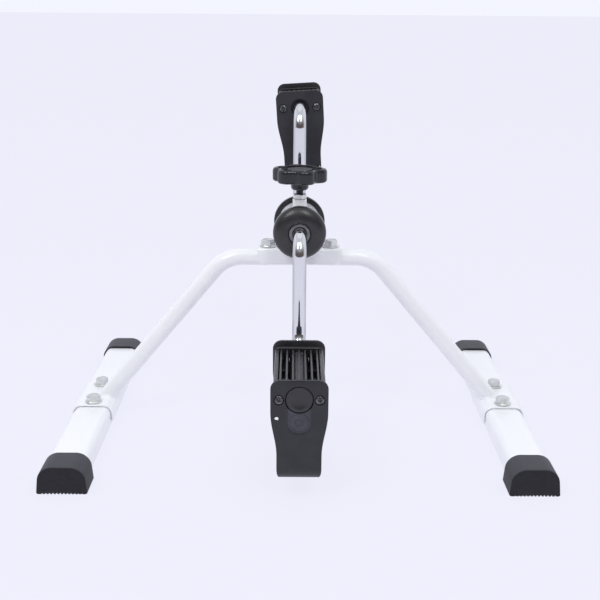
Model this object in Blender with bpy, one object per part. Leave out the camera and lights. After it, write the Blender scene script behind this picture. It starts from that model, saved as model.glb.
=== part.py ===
"""Pedal exerciser: a white steel arch on two floor bars, with a chromed crank, two slatted
pedals with hanging foot straps, and a hand knob that presses a friction shoe on the crank.

Frame of the part: X runs along the arch from floor bar to floor bar, Y runs along the crank
axle and the floor bars, Z is up. The origin is on the floor under the middle of the hub.
The near side is -Y, the far side is +Y, left is -X and right is +X. Sizes are in metres.
"""
from math import acos, atan2, cos, hypot, pi, radians, sin, sqrt, tan

import bmesh
import bpy
from mathutils import Vector

# ---------------------------------------------------------------- driving dimensions
GAP = 0.0003                 # clearance between pieces that touch
OVERCUT = 0.002              # how far a cutting shape reaches beyond the faces it cuts

BASE_LENGTH = 0.390          # floor bars over their rubber feet
BAR_CENTRE_X = 0.2195        # from the middle to each floor bar
BAR_WIDTH = 0.039
BAR_HEIGHT = 0.021
BAR_WALL = 0.0015
BAR_SHOULDER = 0.0080        # radius of the bar's two upper edges
BAR_TOE = 0.0020             # radius of its two lower edges

FOOT_LENGTH = 0.034
FOOT_SOLE = 0.003            # rubber under the bar
FOOT_ROOF = 0.003            # rubber over it
FOOT_SIDE = 0.0045           # rubber beside the bar, at the floor
FOOT_CROWN_SIDE = 0.00175    # rubber beside the bar where the slanted sides would meet the roof
FOOT_END_WALL = 0.004
FOOT_TOE = 0.0012
FOOT_EASE = ((0.0030, 0.0), (0.0010, 0.0004), (0.0, 0.0015))  # short of its end, drawn in

SADDLE_LENGTH = 0.074
SADDLE_WALL = 0.0020
SADDLE_SKIRT_RISE = 0.0050   # from the bar's underside to the skirt's lower edge
BASE_BOLT_Y = 0.0265

ARCH_HEIGHT = 0.1808         # floor to the middle of the arch's level stretch
ARCH_TUBE_RADIUS = 0.0089
ARCH_TUBE_WALL = 0.0015
ARCH_BEND = 0.040
ARCH_SHOULDER_X = 0.078      # where the level line and the leg's line would cross
LEG_INSET = 0.0120           # leg's landing point, inboard of the bar's middle

BRACKET_LENGTH = 0.086
BRACKET_WALL = 0.0020
BRACKET_SKIRT = 0.0055       # how far the skirts reach below the tube's middle
BRACKET_CORNER = 0.0055
BRACKET_BEND = 0.0030        # outer radius of its two long bends
BRACKET_BOLT_X = 0.0330

HUB_RADIUS = 0.0220
HUB_WALL = 0.0020
HUB_LENGTH = 0.053
HUB_NESTLE = 0.0005          # how deep the hub lies in the bracket's cradle
CAP_LIP = 0.0052             # how far the end caps stand out beyond the shell
CAP_HEIGHT = 0.0134
CAP_SIDE = 0.0050            # straight part of the cap's side, before its dome
CAP_WALL = 0.0025
CAP_SPIGOT = 0.0036
CAP_RECESS_DEPTH = 0.0022
CAP_LIP_DEPTH = 0.0005
CAP_ROD_CLEARANCE = 0.0008
BUSHING_LENGTH = 0.0100

ROD_RADIUS = 0.0070
ROD_BEND = 0.0200            # bend radius of the rod's middle line
CRANK_THROW = 0.1146
ARM_CLEARANCE = 0.0023       # hub cap to the start of the rod's bend
RING_THICKNESS = 0.0014
RING_WIDTH = 0.0036

PEDAL_CLEARANCE = 0.0077     # end of the rod's bend to the strap's inner side
PEDAL_LENGTH = 0.111         # body without the strap
PEDAL_WIDTH = 0.0476
SLAT_COUNT = 7               # thin slats between the two side rails
SLAT_PITCH = 0.0058
SLAT_THICKNESS = 0.0020
RAIL_WIDTH = 0.0042
RAIL_SET_IN = 0.0001         # rails' outer faces, inside the end plates' sides
SLAT_COVER = 0.0014          # slat above and below the sleeve's bore
END_PLATE = 0.0050
END_PLATE_LIP = 0.0018       # end plate above and below the slats
END_PLATE_CORNER = 0.0040
RIB_THICKNESS = 0.0020
RIB_SET_IN = 0.0045          # ribs' edges, below the slats' edges
SLEEVE_WALL = 0.0022
SLEEVE_INSET = 0.0008        # sleeve's inner end, inside the body's inner face
ROD_END_INSET = 0.0035       # rod's end, inside the pedal's outer face
PUSH_NUT_THICKNESS = 0.0010
PUSH_NUT_WIDTH = 0.0026
PUSH_NUT_INSET = 0.0034      # push nut's inner face, inside the rod's end
FAR_PEDAL_LEAN = radians(3.5)

STRAP_THICKNESS = 0.0030
STRAP_WIDTH = 0.0520         # at the pedal's ends
STRAP_WAIST = 0.0410         # lower down
STRAP_RISE = 0.0185          # above the axle
STRAP_DROP = 0.0775          # below the axle, to the middle of the strap's bottom
STRAP_CORNER = 0.0110        # bend radius of the strap's two lower corners
STRAP_TOP_CORNER = 0.0085
TAPER_TOP = 0.0120
TAPER_BOTTOM = 0.0540
STRAP_HOLE_X = 0.0203
STRAP_HOLE_DROP = 0.0180
STRAP_HOLE_RADIUS = 0.0020

RECESS_BRIDGE = 0.0006       # strap between a screw's recess and the dust cap's window
SCREW_SHANK_RADIUS = 0.0019
SCREW_LENGTH = 0.0095
SCREW_HEAD_RADIUS = 0.0040
SCREW_HEAD_HEIGHT = 0.0021
SCREW_RECESS_CLEARANCE = 0.0008
SCREW_RECESS_DEPTH = 0.0016
SCREW_BOSS_RADIUS = 0.0044
SCREW_BOSS_LENGTH = 0.0120
SCREW_HOLE_ROOM = 0.0008     # screw hole beyond the screw's tip
SCREW_CROWN = 0.0013         # from the head's edge in to its flat top, and down its side
STRAP_ROD_CLEARANCE = 0.0028
SLEEVE_ROOM = 0.0012         # sleeve's end to the push nut
NUT_ROOM = 0.0004            # pocket's floor beyond the sleeve's end
CAP_ROOM = 0.0008            # rod's end to the dust cap
DUST_CAP_EDGE = 0.0007       # chamfer round the dust cap

POCKET_CLEARANCE = 0.0012    # pocket for the push nut and dust cap, round the sleeve's bore
DUST_CAP_LAP = 0.0016        # dust cap's disc beyond the pocket
DUST_CAP_CLEARANCE = 0.0004
DUST_CAP_THICKNESS = 0.0020
DUST_CAP_SKIRT = 0.0014

BOLT_RADIUS = 0.0039
BOLT_CLEARANCE = 0.0004
BOLT_LENGTH = 0.0150
HEX_ACROSS_FLATS = 0.0130
BOLT_HEAD_HEIGHT = 0.0056
FLANGE_RADIUS = 0.0089
FLANGE_THICKNESS = 0.0016
FLANGE_RIM = 0.0007          # straight part of the flange's edge
FLANGE_CONE = 0.0011         # from the hexagon's flats out to the foot of the flange's cone
BOLT_CHAMFER = 0.0008        # at the shank's tip and round the head's top
NUT_HEIGHT = 0.0062
TUBE_NUT_CLEARANCE = 0.0015  # beside the nuts that sit inside the arch tube
LOCK_NUT_HEIGHT = 0.0048

BOSS_RADIUS = 0.0073
BOSS_RISE = 0.0077           # above the hub's top
KNOB_RADIUS = 0.0286
KNOB_LOBES = 6
KNOB_SCALLOP = 0.0052
KNOB_HEIGHT = 0.0142
KNOB_RIM = 0.0040            # from the scallops' bottoms to the recess in the top
KNOB_RECESS_DEPTH = 0.0030
KNOB_WEB = 0.0016            # between the screw's end and the recess
KNOB_FOOT = ((0.0030, 0.0), (0.0008, 0.0014), (0.0, 0.0040))      # drawn in, above the foot
KNOB_BROW = ((0.0, 0.0040), (0.0007, 0.0014), (0.0026, 0.0))      # drawn in, below the top
KNOB_LOBE_ANGLE = radians(-13.0)
COLLAR_RADIUS = 0.0092
COLLAR_HEIGHT = 0.0084
COLLAR_CHAMFER = 0.0012
COLLAR_LIFT = 0.0046         # collar's underside above the lock nut
SCREW_RADIUS = 0.0040
KNOB_CAP_THICKNESS = 0.0012
KNOB_CAP_EDGE = 0.0006       # chamfer round the cap

TIGHTEN_TRAVEL = 0.0019      # knob's travel until the shoe's lining bears on the rod
LOOSEN_TRAVEL = 0.00255      # knob's travel the other way
SHOE_ROOM = 0.00245          # left above the shoe when it is fully lifted
LINING_THICKNESS = 0.0015
SHOE_LENGTH = 0.0160
SHOE_SPREAD = radians(50.0)

TUBE_SIDES = 16
ROD_SIDES = 16
HUB_SIDES = 28
SMALL_SIDES = 12
BEND_STEPS = 5

# ---------------------------------------------------------------- places worked out from them
BAR_TOP = FOOT_SOLE + BAR_HEIGHT
FOOT_HEIGHT = BAR_TOP + FOOT_ROOF
SADDLE_TOP = BAR_TOP + GAP + SADDLE_WALL
BRACKET_TOP = ARCH_HEIGHT + ARCH_TUBE_RADIUS + GAP + BRACKET_WALL
HUB_HEIGHT = BRACKET_TOP + HUB_RADIUS - HUB_NESTLE
HUB_TOP = HUB_HEIGHT + HUB_RADIUS
HUB_BORE = HUB_RADIUS - HUB_WALL
CAP_RADIUS = HUB_RADIUS + CAP_LIP
CAP_BACK = HUB_LENGTH / 2 + GAP
CAP_FACE = CAP_BACK + CAP_HEIGHT
ARM_Y = CAP_FACE + ARM_CLEARANCE + ROD_BEND
PEDAL_INNER = ARM_Y + ROD_BEND + PEDAL_CLEARANCE + STRAP_THICKNESS + GAP
PEDAL_OUTER = PEDAL_INNER + PEDAL_LENGTH
ROD_END = PEDAL_OUTER - ROD_END_INSET
ROD_HOLE = ROD_RADIUS + GAP
SLEEVE_END = ROD_END - PUSH_NUT_INSET - SLEEVE_ROOM
CAP_RECESS_RADIUS = ROD_HOLE + RING_WIDTH + GAP
SLEEVE_RADIUS = ROD_HOLE + SLEEVE_WALL
SLEEVE_BORE = SLEEVE_RADIUS + GAP
SLAT_HALF_HEIGHT = SLEEVE_BORE + SLAT_COVER
END_PLATE_HALF_HEIGHT = SLAT_HALF_HEIGHT + END_PLATE_LIP
POCKET_RADIUS = SLEEVE_BORE + POCKET_CLEARANCE
DUST_CAP_RADIUS = POCKET_RADIUS + DUST_CAP_LAP
WINDOW_RADIUS = DUST_CAP_RADIUS + DUST_CAP_CLEARANCE
SCREW_RECESS_RADIUS = SCREW_HEAD_RADIUS + SCREW_RECESS_CLEARANCE
STRAP_SCREW_X = WINDOW_RADIUS + RECESS_BRIDGE + SCREW_RECESS_RADIUS
BOLT_HOLE = BOLT_RADIUS + BOLT_CLEARANCE
TUBE_BORE = ARCH_TUBE_RADIUS - ARCH_TUBE_WALL
TUBE_NUT_FLATS = 2 * (TUBE_BORE - TUBE_NUT_CLEARANCE)
SCREW_HOLE = SCREW_RADIUS + GAP
BOSS_TOP = HUB_TOP + BOSS_RISE
LOCK_NUT_TOP = BOSS_TOP + GAP + LOCK_NUT_HEIGHT
COLLAR_BOTTOM = LOCK_NUT_TOP + COLLAR_LIFT
KNOB_BOTTOM = COLLAR_BOTTOM + COLLAR_HEIGHT
KNOB_RECESS_RADIUS = KNOB_RADIUS - KNOB_SCALLOP - KNOB_RIM
LINING_CENTRE = HUB_HEIGHT + TIGHTEN_TRAVEL
LINING_OUTER = ROD_HOLE + LINING_THICKNESS
SHOE_TOP = HUB_HEIGHT + HUB_BORE - SHOE_ROOM - LOOSEN_TRAVEL


# ---------------------------------------------------------------- general helpers
def clear_objects():
    """Start from an empty file."""
    for old in list(bpy.data.objects):
        bpy.data.objects.remove(old, do_unlink=True)


def finish_of(name, colour, roughness, metallic=0.0):
    """A plain Principled material."""
    material = bpy.data.materials.new(name)
    material.use_nodes = True
    shader = material.node_tree.nodes["Principled BSDF"]
    shader.inputs["Base Color"].default_value = (*colour, 1.0)
    shader.inputs["Roughness"].default_value = roughness
    shader.inputs["Metallic"].default_value = metallic
    material.diffuse_color = (*colour, 1.0)
    return material


def empty(name, location=(0, 0, 0), rotation=(0, 0, 0), parent=None):
    """An empty that stands on a joint's axis."""
    holder = bpy.data.objects.new(name, None)
    holder.location = location
    holder.rotation_euler = rotation
    holder.parent = parent
    bpy.context.collection.objects.link(holder)
    return holder


def place(name, mesh, material=None, location=(0, 0, 0), rotation=(0, 0, 0), parent=None):
    """Put a mesh in the scene as one named piece."""
    piece = bpy.data.objects.new(name, mesh)
    piece.location = location
    piece.rotation_euler = rotation
    piece.parent = parent
    if material is not None and not mesh.materials:
        mesh.materials.append(material)
    bpy.context.collection.objects.link(piece)
    return piece


def mesh_of(name, bm):
    """Turn a bmesh into a mesh with its normals out, smooth where it is round."""
    bmesh.ops.recalc_face_normals(bm, faces=bm.faces)
    mesh = bpy.data.meshes.new(name)
    bm.to_mesh(mesh)
    bm.free()
    mesh.shade_smooth()
    mesh.set_sharp_from_angle(angle=radians(35))
    return mesh


def loft(bm, rings, closed=False):
    """Skin a row of rings. An open row gets end faces, a closed row joins its ends."""
    rows = [[bm.verts.new(point) for point in ring] for ring in rings]
    count = len(rows[0])
    pairs = list(zip(rows, rows[1:]))
    if closed:
        pairs.append((rows[-1], rows[0]))
    for first, second in pairs:
        for i in range(count):
            j = (i + 1) % count
            bm.faces.new((first[i], first[j], second[j], second[i]))
    if not closed:
        bm.faces.new(rows[0])
        bm.faces.new(rows[-1])


def circle(radius, height, sides, turn=0.0):
    """A ring of points round Z."""
    angles = [turn + 2 * pi * i / sides for i in range(sides)]
    return [(radius * cos(a), radius * sin(a), height) for a in angles]


def hexagon(across_flats, height, sides):
    """A hexagon's outline on as many points as a circle of that many sides."""
    ring = []
    for i in range(sides):
        angle = 2 * pi * i / sides
        fold = (angle + pi / 6) % (pi / 3) - pi / 6
        radius = across_flats / 2 / cos(fold)
        ring.append((radius * cos(angle), radius * sin(angle), height))
    return ring


def turned(profile, sides, closed=False):
    """A piece turned round Z from (radius, height) points."""
    bm = bmesh.new()
    loft(bm, [circle(radius, height, sides) for radius, height in profile], closed)
    return bm


def rounded(corners, radii, steps):
    """A polygon with each corner rounded by its own radius."""
    outline = []
    count = len(corners)
    for i in range(count):
        here = Vector(corners[i])
        before = (Vector(corners[i - 1]) - here).normalized()
        after = (Vector(corners[(i + 1) % count]) - here).normalized()
        if radii[i] <= 0:
            outline.append(here)
            continue
        half = acos(max(-1.0, min(1.0, before.dot(after)))) / 2
        centre = here + (before + after).normalized() * (radii[i] / sin(half))
        start = here + before * (radii[i] / tan(half)) - centre
        end = here + after * (radii[i] / tan(half)) - centre
        sweep = atan2(start.cross(end), start.dot(end))
        for k in range(steps + 1):
            a = sweep * k / steps
            outline.append(centre + Vector((start.x * cos(a) - start.y * sin(a),
                                            start.x * sin(a) + start.y * cos(a))))
    return outline


def extrude_y(outline, y0, y1):
    """A prism along Y from an outline of (x, z) points."""
    bm = bmesh.new()
    loft(bm, [[(p[0], y, p[1]) for p in outline] for y in (y0, y1)])
    return bm


def extrude_x(outline, x0, x1):
    """A prism along X from an outline of (y, z) points."""
    bm = bmesh.new()
    loft(bm, [[(x, p[0], p[1]) for p in outline] for x in (x0, x1)])
    return bm


def box(bm, low, high):
    """Add a plain block between two corners."""
    (x0, y0, z0), (x1, y1, z1) = low, high
    base = [(x0, y0), (x1, y0), (x1, y1), (x0, y1)]
    loft(bm, [[(x, y, z) for x, y in base] for z in (z0, z1)])


def rod_along(bm, axis, radius, start, end, centre, sides):
    """Add a cylinder along 'x', 'y' or 'z' from start to end."""
    rings = []
    for along in (start, end):
        ring = []
        for a, b, _ in circle(radius, 0, sides, pi / sides):
            u, v = a + centre[0], b + centre[1]
            ring.append({"x": (along, u, v), "y": (u, along, v), "z": (u, v, along)}[axis])
        rings.append(ring)
    loft(bm, rings)


def bent_path(points, bend, steps):
    """Points and directions along a flat path whose corners are bent to one radius."""
    points = [Vector(p) for p in points]
    path = [(points[0], (points[1] - points[0]).normalized())]
    for before, here, after in zip(points, points[1:], points[2:]):
        run_in = (here - before).normalized()
        run_out = (after - here).normalized()
        turn = run_in.angle(run_out)
        side = (run_out - run_in * run_in.dot(run_out)).normalized()
        start = here - run_in * (bend * tan(turn / 2))
        centre = start + side * bend
        for k in range(steps + 1):
            a = turn * k / steps
            point = centre - side * (bend * cos(a)) + run_in * (bend * sin(a))
            path.append((point, run_in * cos(a) + side * sin(a)))
    path.append((points[-1], (points[-1] - points[-2]).normalized()))
    return path


def tube_rings(path, radius, sides, across):
    """Round rings along a flat path; across is the direction square to its plane."""
    across = Vector(across)
    rings = []
    for point, direction in path:
        inward = across.cross(direction)
        angles = [2 * pi * (i + 0.5) / sides for i in range(sides)]
        rings.append([point + inward * (radius * cos(a)) + across * (radius * sin(a))
                      for a in angles])
    return rings


def tool(name, bm, operation, target, parent=None, location=(0, 0, 0), rotation=(0, 0, 0)):
    """Cut a shape from a piece, or join one to it, with an exact Boolean."""
    shape = place(name, mesh_of(name, bm), None, location, rotation, parent)
    shape.hide_render = True
    shape.display_type = "WIRE"
    step = target.modifiers.new(name, "BOOLEAN")
    step.operation = operation
    step.solver = "EXACT"
    step.object = shape
    return shape


# ---------------------------------------------------------------- finishes
def make_finishes():
    """The object's finishes, by name."""
    return {
        "white_paint": finish_of("white_paint", (0.84, 0.86, 0.89), 0.32),
        "chrome": finish_of("chrome", (0.78, 0.78, 0.79), 0.08, 1.0),
        "zinc": finish_of("zinc", (0.60, 0.61, 0.60), 0.32, 1.0),
        "black_plastic": finish_of("black_plastic", (0.022, 0.022, 0.025), 0.42),
        "strap_plastic": finish_of("strap_plastic", (0.026, 0.026, 0.030), 0.50),
        "foot_rubber": finish_of("foot_rubber", (0.045, 0.046, 0.050), 0.75),
        "grey_plastic": finish_of("grey_plastic", (0.09, 0.09, 0.10), 0.50),
        "nylon": finish_of("nylon", (0.62, 0.60, 0.54), 0.50),
        "leather": finish_of("leather", (0.22, 0.12, 0.06), 0.80),
    }


# ---------------------------------------------------------------- floor bars and feet
def bar_outline(grow, toe):
    """The floor bar's D section, grown outward by some amount, as (x, z) points."""
    half = BAR_WIDTH / 2 + grow
    low = FOOT_SOLE - grow
    high = BAR_TOP + grow
    corners = [(-half, low), (half, low), (half, high), (-half, high)]
    shoulder = BAR_SHOULDER + grow
    return rounded(corners, [toe, toe, shoulder, shoulder], 5)


def make_base_tube(name, side, finishes):
    """A hollow floor bar with two bolt holes in its top."""
    end = BASE_LENGTH / 2 - FOOT_END_WALL - GAP
    outer = bar_outline(0.0, BAR_TOE)
    inner = bar_outline(-BAR_WALL, BAR_TOE / 2)
    bm = bmesh.new()
    loft(bm, [[(p.x, y, p.y) for p in line] for line, y in
              ((outer, -end), (outer, end), (inner, end), (inner, -end))], closed=True)
    bar = place(name, mesh_of(name, bm), finishes["white_paint"], (side * BAR_CENTRE_X, 0, 0))
    holes = bmesh.new()
    for y in (-BASE_BOLT_Y, BASE_BOLT_Y):
        rod_along(holes, "z", BOLT_HOLE, BAR_TOP - BAR_WALL - OVERCUT, BAR_TOP + OVERCUT, (0, y),
                  SMALL_SIDES)
    tool(name + "_holes", holes, "DIFFERENCE", bar, location=(side * BAR_CENTRE_X, 0, 0))


def foot_mesh():
    """A rubber cap for a bar's end, closed towards +Y, standing on the floor."""
    end = BASE_LENGTH / 2
    start = end - FOOT_LENGTH
    bottom = end - FOOT_END_WALL
    outlines = []
    for short, inset in FOOT_EASE:
        half = BAR_WIDTH / 2 + FOOT_SIDE - inset
        crown = BAR_WIDTH / 2 + FOOT_CROWN_SIDE - inset
        roof = FOOT_HEIGHT - inset
        corners = [(-half, 0), (half, 0), (crown, roof), (-crown, roof)]
        shoulder = BAR_SHOULDER + FOOT_END_WALL
        outline = rounded(corners, [FOOT_TOE] * 2 + [shoulder] * 2, 5)
        outlines.append((outline, end - short))
    cavity = bar_outline(GAP, BAR_TOE)
    rings = [(cavity, bottom), (cavity, start), (outlines[0][0], start)] + outlines
    bm = bmesh.new()
    loft(bm, [[(p.x, y, p.y) for p in line] for line, y in rings])
    return mesh_of("foot", bm)


def make_base(finishes):
    """Both floor bars with their four feet."""
    foot = foot_mesh()
    for side, word in ((-1, "left"), (1, "right")):
        make_base_tube(word + "_base_tube", side, finishes)
        for end, turn in (("near", pi), ("far", 0.0)):
            place(f"{word}_foot_{end}", foot, finishes["foot_rubber"],
                  (side * BAR_CENTRE_X, 0, 0), (0, 0, turn))


# ---------------------------------------------------------------- arch, saddles and bracket
def saddle_outline(grow=0.0):
    """The saddle's inverted U over the bar, as (x, z) points."""
    inner = BAR_WIDTH / 2 + GAP
    outer = inner + SADDLE_WALL + grow
    low = FOOT_SOLE + SADDLE_SKIRT_RISE
    roof = BAR_TOP + GAP
    corners = [(-outer, low), (-outer, SADDLE_TOP + grow), (outer, SADDLE_TOP + grow),
               (outer, low), (inner, low), (inner, roof), (-inner, roof), (-inner, low)]
    small = BAR_SHOULDER + GAP
    large = small + SADDLE_WALL + grow
    return rounded(corners, [0, large, large, 0, 0, small, small, 0], 5)


def make_saddles(finishes):
    """The sleeve at each leg's end, bolted over the floor bar."""
    for side, word in ((-1, "left"), (1, "right")):
        name = word + "_saddle"
        at = (side * BAR_CENTRE_X, 0, 0)
        half = SADDLE_LENGTH / 2
        saddle = place(name, mesh_of(name, extrude_y(saddle_outline(), -half, half)),
                       finishes["white_paint"], at)
        holes = bmesh.new()
        for y in (-BASE_BOLT_Y, BASE_BOLT_Y):
            rod_along(holes, "z", BOLT_HOLE, BAR_TOP - OVERCUT, SADDLE_TOP + OVERCUT, (0, y),
                      SMALL_SIDES)
        tool(name + "_holes", holes, "DIFFERENCE", saddle, location=at)


def make_arch(finishes):
    """The bent tube that carries the hub, coped where it meets each saddle."""
    land_x = BAR_CENTRE_X - LEG_INSET
    slope_x = land_x - ARCH_SHOULDER_X
    slope_z = ARCH_HEIGHT - SADDLE_TOP
    reach = hypot(slope_x, slope_z)
    extra = ARCH_TUBE_RADIUS + OVERCUT
    end_x = land_x + slope_x / reach * extra
    end_z = SADDLE_TOP - slope_z / reach * extra
    corners = [(-end_x, 0, end_z), (-ARCH_SHOULDER_X, 0, ARCH_HEIGHT),
               (ARCH_SHOULDER_X, 0, ARCH_HEIGHT), (end_x, 0, end_z)]
    path = bent_path(corners, ARCH_BEND, BEND_STEPS)
    outer = tube_rings(path, ARCH_TUBE_RADIUS, TUBE_SIDES, (0, 1, 0))
    inner = tube_rings(path, ARCH_TUBE_RADIUS - ARCH_TUBE_WALL, TUBE_SIDES, (0, 1, 0))
    bm = bmesh.new()
    loft(bm, outer + inner[::-1], closed=True)
    arch = place("arch_tube", mesh_of("arch_tube", bm), finishes["white_paint"])

    half = BAR_WIDTH / 2 + GAP + SADDLE_WALL + GAP
    top = SADDLE_TOP + GAP
    corners = [(-half, 0), (half, 0), (half, top), (-half, top)]
    shoulder = BAR_SHOULDER + SADDLE_WALL + 2 * GAP
    cope = rounded(corners, [0, 0, shoulder, shoulder], 5)
    for side in (-1, 1):
        tool(f"cope_{side}", extrude_y(cope, -SADDLE_LENGTH / 2, SADDLE_LENGTH / 2),
             "DIFFERENCE", arch, location=(side * BAR_CENTRE_X, 0, 0))
    holes = bmesh.new()
    for x in (-BRACKET_BOLT_X, BRACKET_BOLT_X):
        rod_along(holes, "z", BOLT_HOLE, ARCH_HEIGHT, BRACKET_TOP, (x, 0), SMALL_SIDES)
    tool("arch_bolt_holes", holes, "DIFFERENCE", arch)


def make_bracket(finishes):
    """The channel over the arch that carries the hub in a shallow cradle."""
    inner = ARCH_TUBE_RADIUS + GAP
    outer = inner + BRACKET_WALL
    low = ARCH_HEIGHT - BRACKET_SKIRT
    roof = ARCH_HEIGHT + inner
    corners = [(-outer, low), (-outer, BRACKET_TOP), (outer, BRACKET_TOP), (outer, low),
               (inner, low), (inner, roof), (-inner, roof), (-inner, low)]
    inner_bend = BRACKET_BEND - BRACKET_WALL
    outline = rounded(corners, [0, BRACKET_BEND, BRACKET_BEND, 0, 0, inner_bend, inner_bend, 0],
                      3)
    half = BRACKET_LENGTH / 2
    bm = extrude_x(outline, -half, half)
    lower_ends = [edge for edge in bm.edges
                  if all(abs(v.co.z - low) < 1e-6 for v in edge.verts)
                  and all(abs(abs(v.co.x) - half) < 1e-6 for v in edge.verts)
                  and edge.verts[0].co.x * edge.verts[1].co.x > 0]
    bmesh.ops.bevel(bm, geom=lower_ends, offset=BRACKET_CORNER, segments=4, profile=0.5,
                    affect="EDGES")
    bracket = place("hub_bracket", mesh_of("hub_bracket", bm), finishes["white_paint"])
    cradle = bmesh.new()
    rod_along(cradle, "y", HUB_RADIUS + GAP, -HUB_LENGTH, HUB_LENGTH, (0, HUB_HEIGHT),
              HUB_SIDES)
    tool("hub_cradle", cradle, "DIFFERENCE", bracket)
    holes = bmesh.new()
    for x in (-BRACKET_BOLT_X, BRACKET_BOLT_X):
        rod_along(holes, "z", BOLT_HOLE, ARCH_HEIGHT, BRACKET_TOP + OVERCUT, (x, 0),
                  SMALL_SIDES)
    tool("bracket_bolt_holes", holes, "DIFFERENCE", bracket)


# ---------------------------------------------------------------- hub
def make_hub(finishes):
    """The steel hub shell with its boss, bushings and end caps."""
    half = HUB_LENGTH / 2
    shell_profile = [(HUB_RADIUS, -half), (HUB_RADIUS, half), (HUB_BORE, half),
                     (HUB_BORE, -half)]
    shell = place("hub_shell", mesh_of("hub_shell", turned(shell_profile, HUB_SIDES, True)),
                  finishes["white_paint"], (0, 0, HUB_HEIGHT), (pi / 2, 0, 0))
    hole = bmesh.new()
    rod_along(hole, "z", SCREW_HOLE, HUB_HEIGHT, HUB_TOP + OVERCUT, (0, 0), SMALL_SIDES)
    tool("hub_screw_hole", hole, "DIFFERENCE", shell)

    boss_low = HUB_TOP - 2 * OVERCUT
    boss_profile = [(BOSS_RADIUS, boss_low), (BOSS_RADIUS, BOSS_TOP), (SCREW_HOLE, BOSS_TOP),
                    (SCREW_HOLE, boss_low)]
    boss = place("tension_boss", mesh_of("tension_boss", turned(boss_profile, 20, True)),
                 finishes["white_paint"])
    saddle_cut = bmesh.new()
    rod_along(saddle_cut, "y", HUB_RADIUS + GAP, -HUB_LENGTH, HUB_LENGTH, (0, HUB_HEIGHT),
              64)
    tool("boss_saddle_cut", saddle_cut, "DIFFERENCE", boss)

    place("tension_lock_nut", nut_mesh(HEX_ACROSS_FLATS, LOCK_NUT_HEIGHT, SCREW_HOLE),
          finishes["zinc"], (0, 0, BOSS_TOP + GAP))

    spigot = HUB_BORE - GAP
    hollow = spigot - CAP_WALL
    bore = ROD_RADIUS + CAP_ROD_CLEARANCE
    recess_floor = CAP_FACE - CAP_RECESS_DEPTH
    rim = CAP_RECESS_RADIUS + 3 * CAP_LIP_DEPTH
    dome_base = CAP_BACK + CAP_SIDE
    dome = [(CAP_RADIUS, CAP_BACK), (CAP_RADIUS, dome_base)]
    for k in range(1, 6):
        a = radians(90) * k / 6
        dome.append((rim + (CAP_RADIUS - rim) * cos(a),
                     dome_base + (CAP_FACE - dome_base) * sin(a)))
    cap_profile = ([(hollow, CAP_BACK - CAP_SPIGOT), (spigot, CAP_BACK - CAP_SPIGOT),
                    (spigot, CAP_BACK)] + dome
                   + [(rim, CAP_FACE), (CAP_RECESS_RADIUS, CAP_FACE - CAP_LIP_DEPTH),
                      (CAP_RECESS_RADIUS, recess_floor), (bore, recess_floor),
                      (bore, recess_floor - CAP_WALL), (hollow, CAP_BACK + CAP_LIP_DEPTH)])
    cap = mesh_of("hub_cap", turned(cap_profile, HUB_SIDES, True))
    start = CAP_BACK - CAP_SPIGOT - GAP - BUSHING_LENGTH
    bushing_profile = [(spigot, start), (spigot, start + BUSHING_LENGTH),
                       (ROD_HOLE, start + BUSHING_LENGTH), (ROD_HOLE, start)]
    bushing = mesh_of("hub_bushing", turned(bushing_profile, 24, True))
    for word, turn in (("near", pi / 2), ("far", -pi / 2)):
        place(word + "_hub_cap", cap, finishes["black_plastic"], (0, 0, HUB_HEIGHT),
              (turn, 0, 0))
        place(word + "_hub_bushing", bushing, finishes["nylon"], (0, 0, HUB_HEIGHT),
              (turn, 0, 0))


# ---------------------------------------------------------------- fasteners
def bolt_rings():
    """Rings of a hexagon flange bolt that stands on z = 0 with its shank below."""
    sides = SMALL_SIDES
    top = FLANGE_THICKNESS + BOLT_HEAD_HEIGHT
    face = HEX_ACROSS_FLATS / 2
    return [circle(BOLT_RADIUS - BOLT_CHAMFER, -BOLT_LENGTH, sides),
            circle(BOLT_RADIUS, -BOLT_LENGTH + BOLT_CHAMFER, sides),
            circle(BOLT_RADIUS, 0.0, sides),
            circle(FLANGE_RADIUS, 0.0, sides),
            circle(FLANGE_RADIUS, FLANGE_RIM, sides),
            circle(face + FLANGE_CONE, FLANGE_THICKNESS, sides),
            hexagon(HEX_ACROSS_FLATS, FLANGE_THICKNESS, sides),
            hexagon(HEX_ACROSS_FLATS, top - BOLT_CHAMFER, sides),
            circle(face - BOLT_CHAMFER / 2, top, sides)]


def nut_mesh(across_flats, height, bore):
    """A hexagon nut from z = 0 up."""
    sides = SMALL_SIDES
    bm = bmesh.new()
    loft(bm, [hexagon(across_flats, 0.0, sides), hexagon(across_flats, height, sides),
              circle(bore, height, sides), circle(bore, 0.0, sides)], closed=True)
    return mesh_of("nut", bm)


def bolt_mesh():
    """A single flange bolt."""
    bm = bmesh.new()
    loft(bm, bolt_rings())
    return mesh_of("flange_bolt", bm)


def place_bolt(name, bolt, nut, at, nut_top, finishes):
    """A flange bolt standing at a place, with its nut below."""
    place(name + "_bolt", bolt, finishes["zinc"], at)
    place(name + "_nut", nut, finishes["zinc"], (at[0], at[1], nut_top - NUT_HEIGHT),
          (0, 0, pi / 2))


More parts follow.
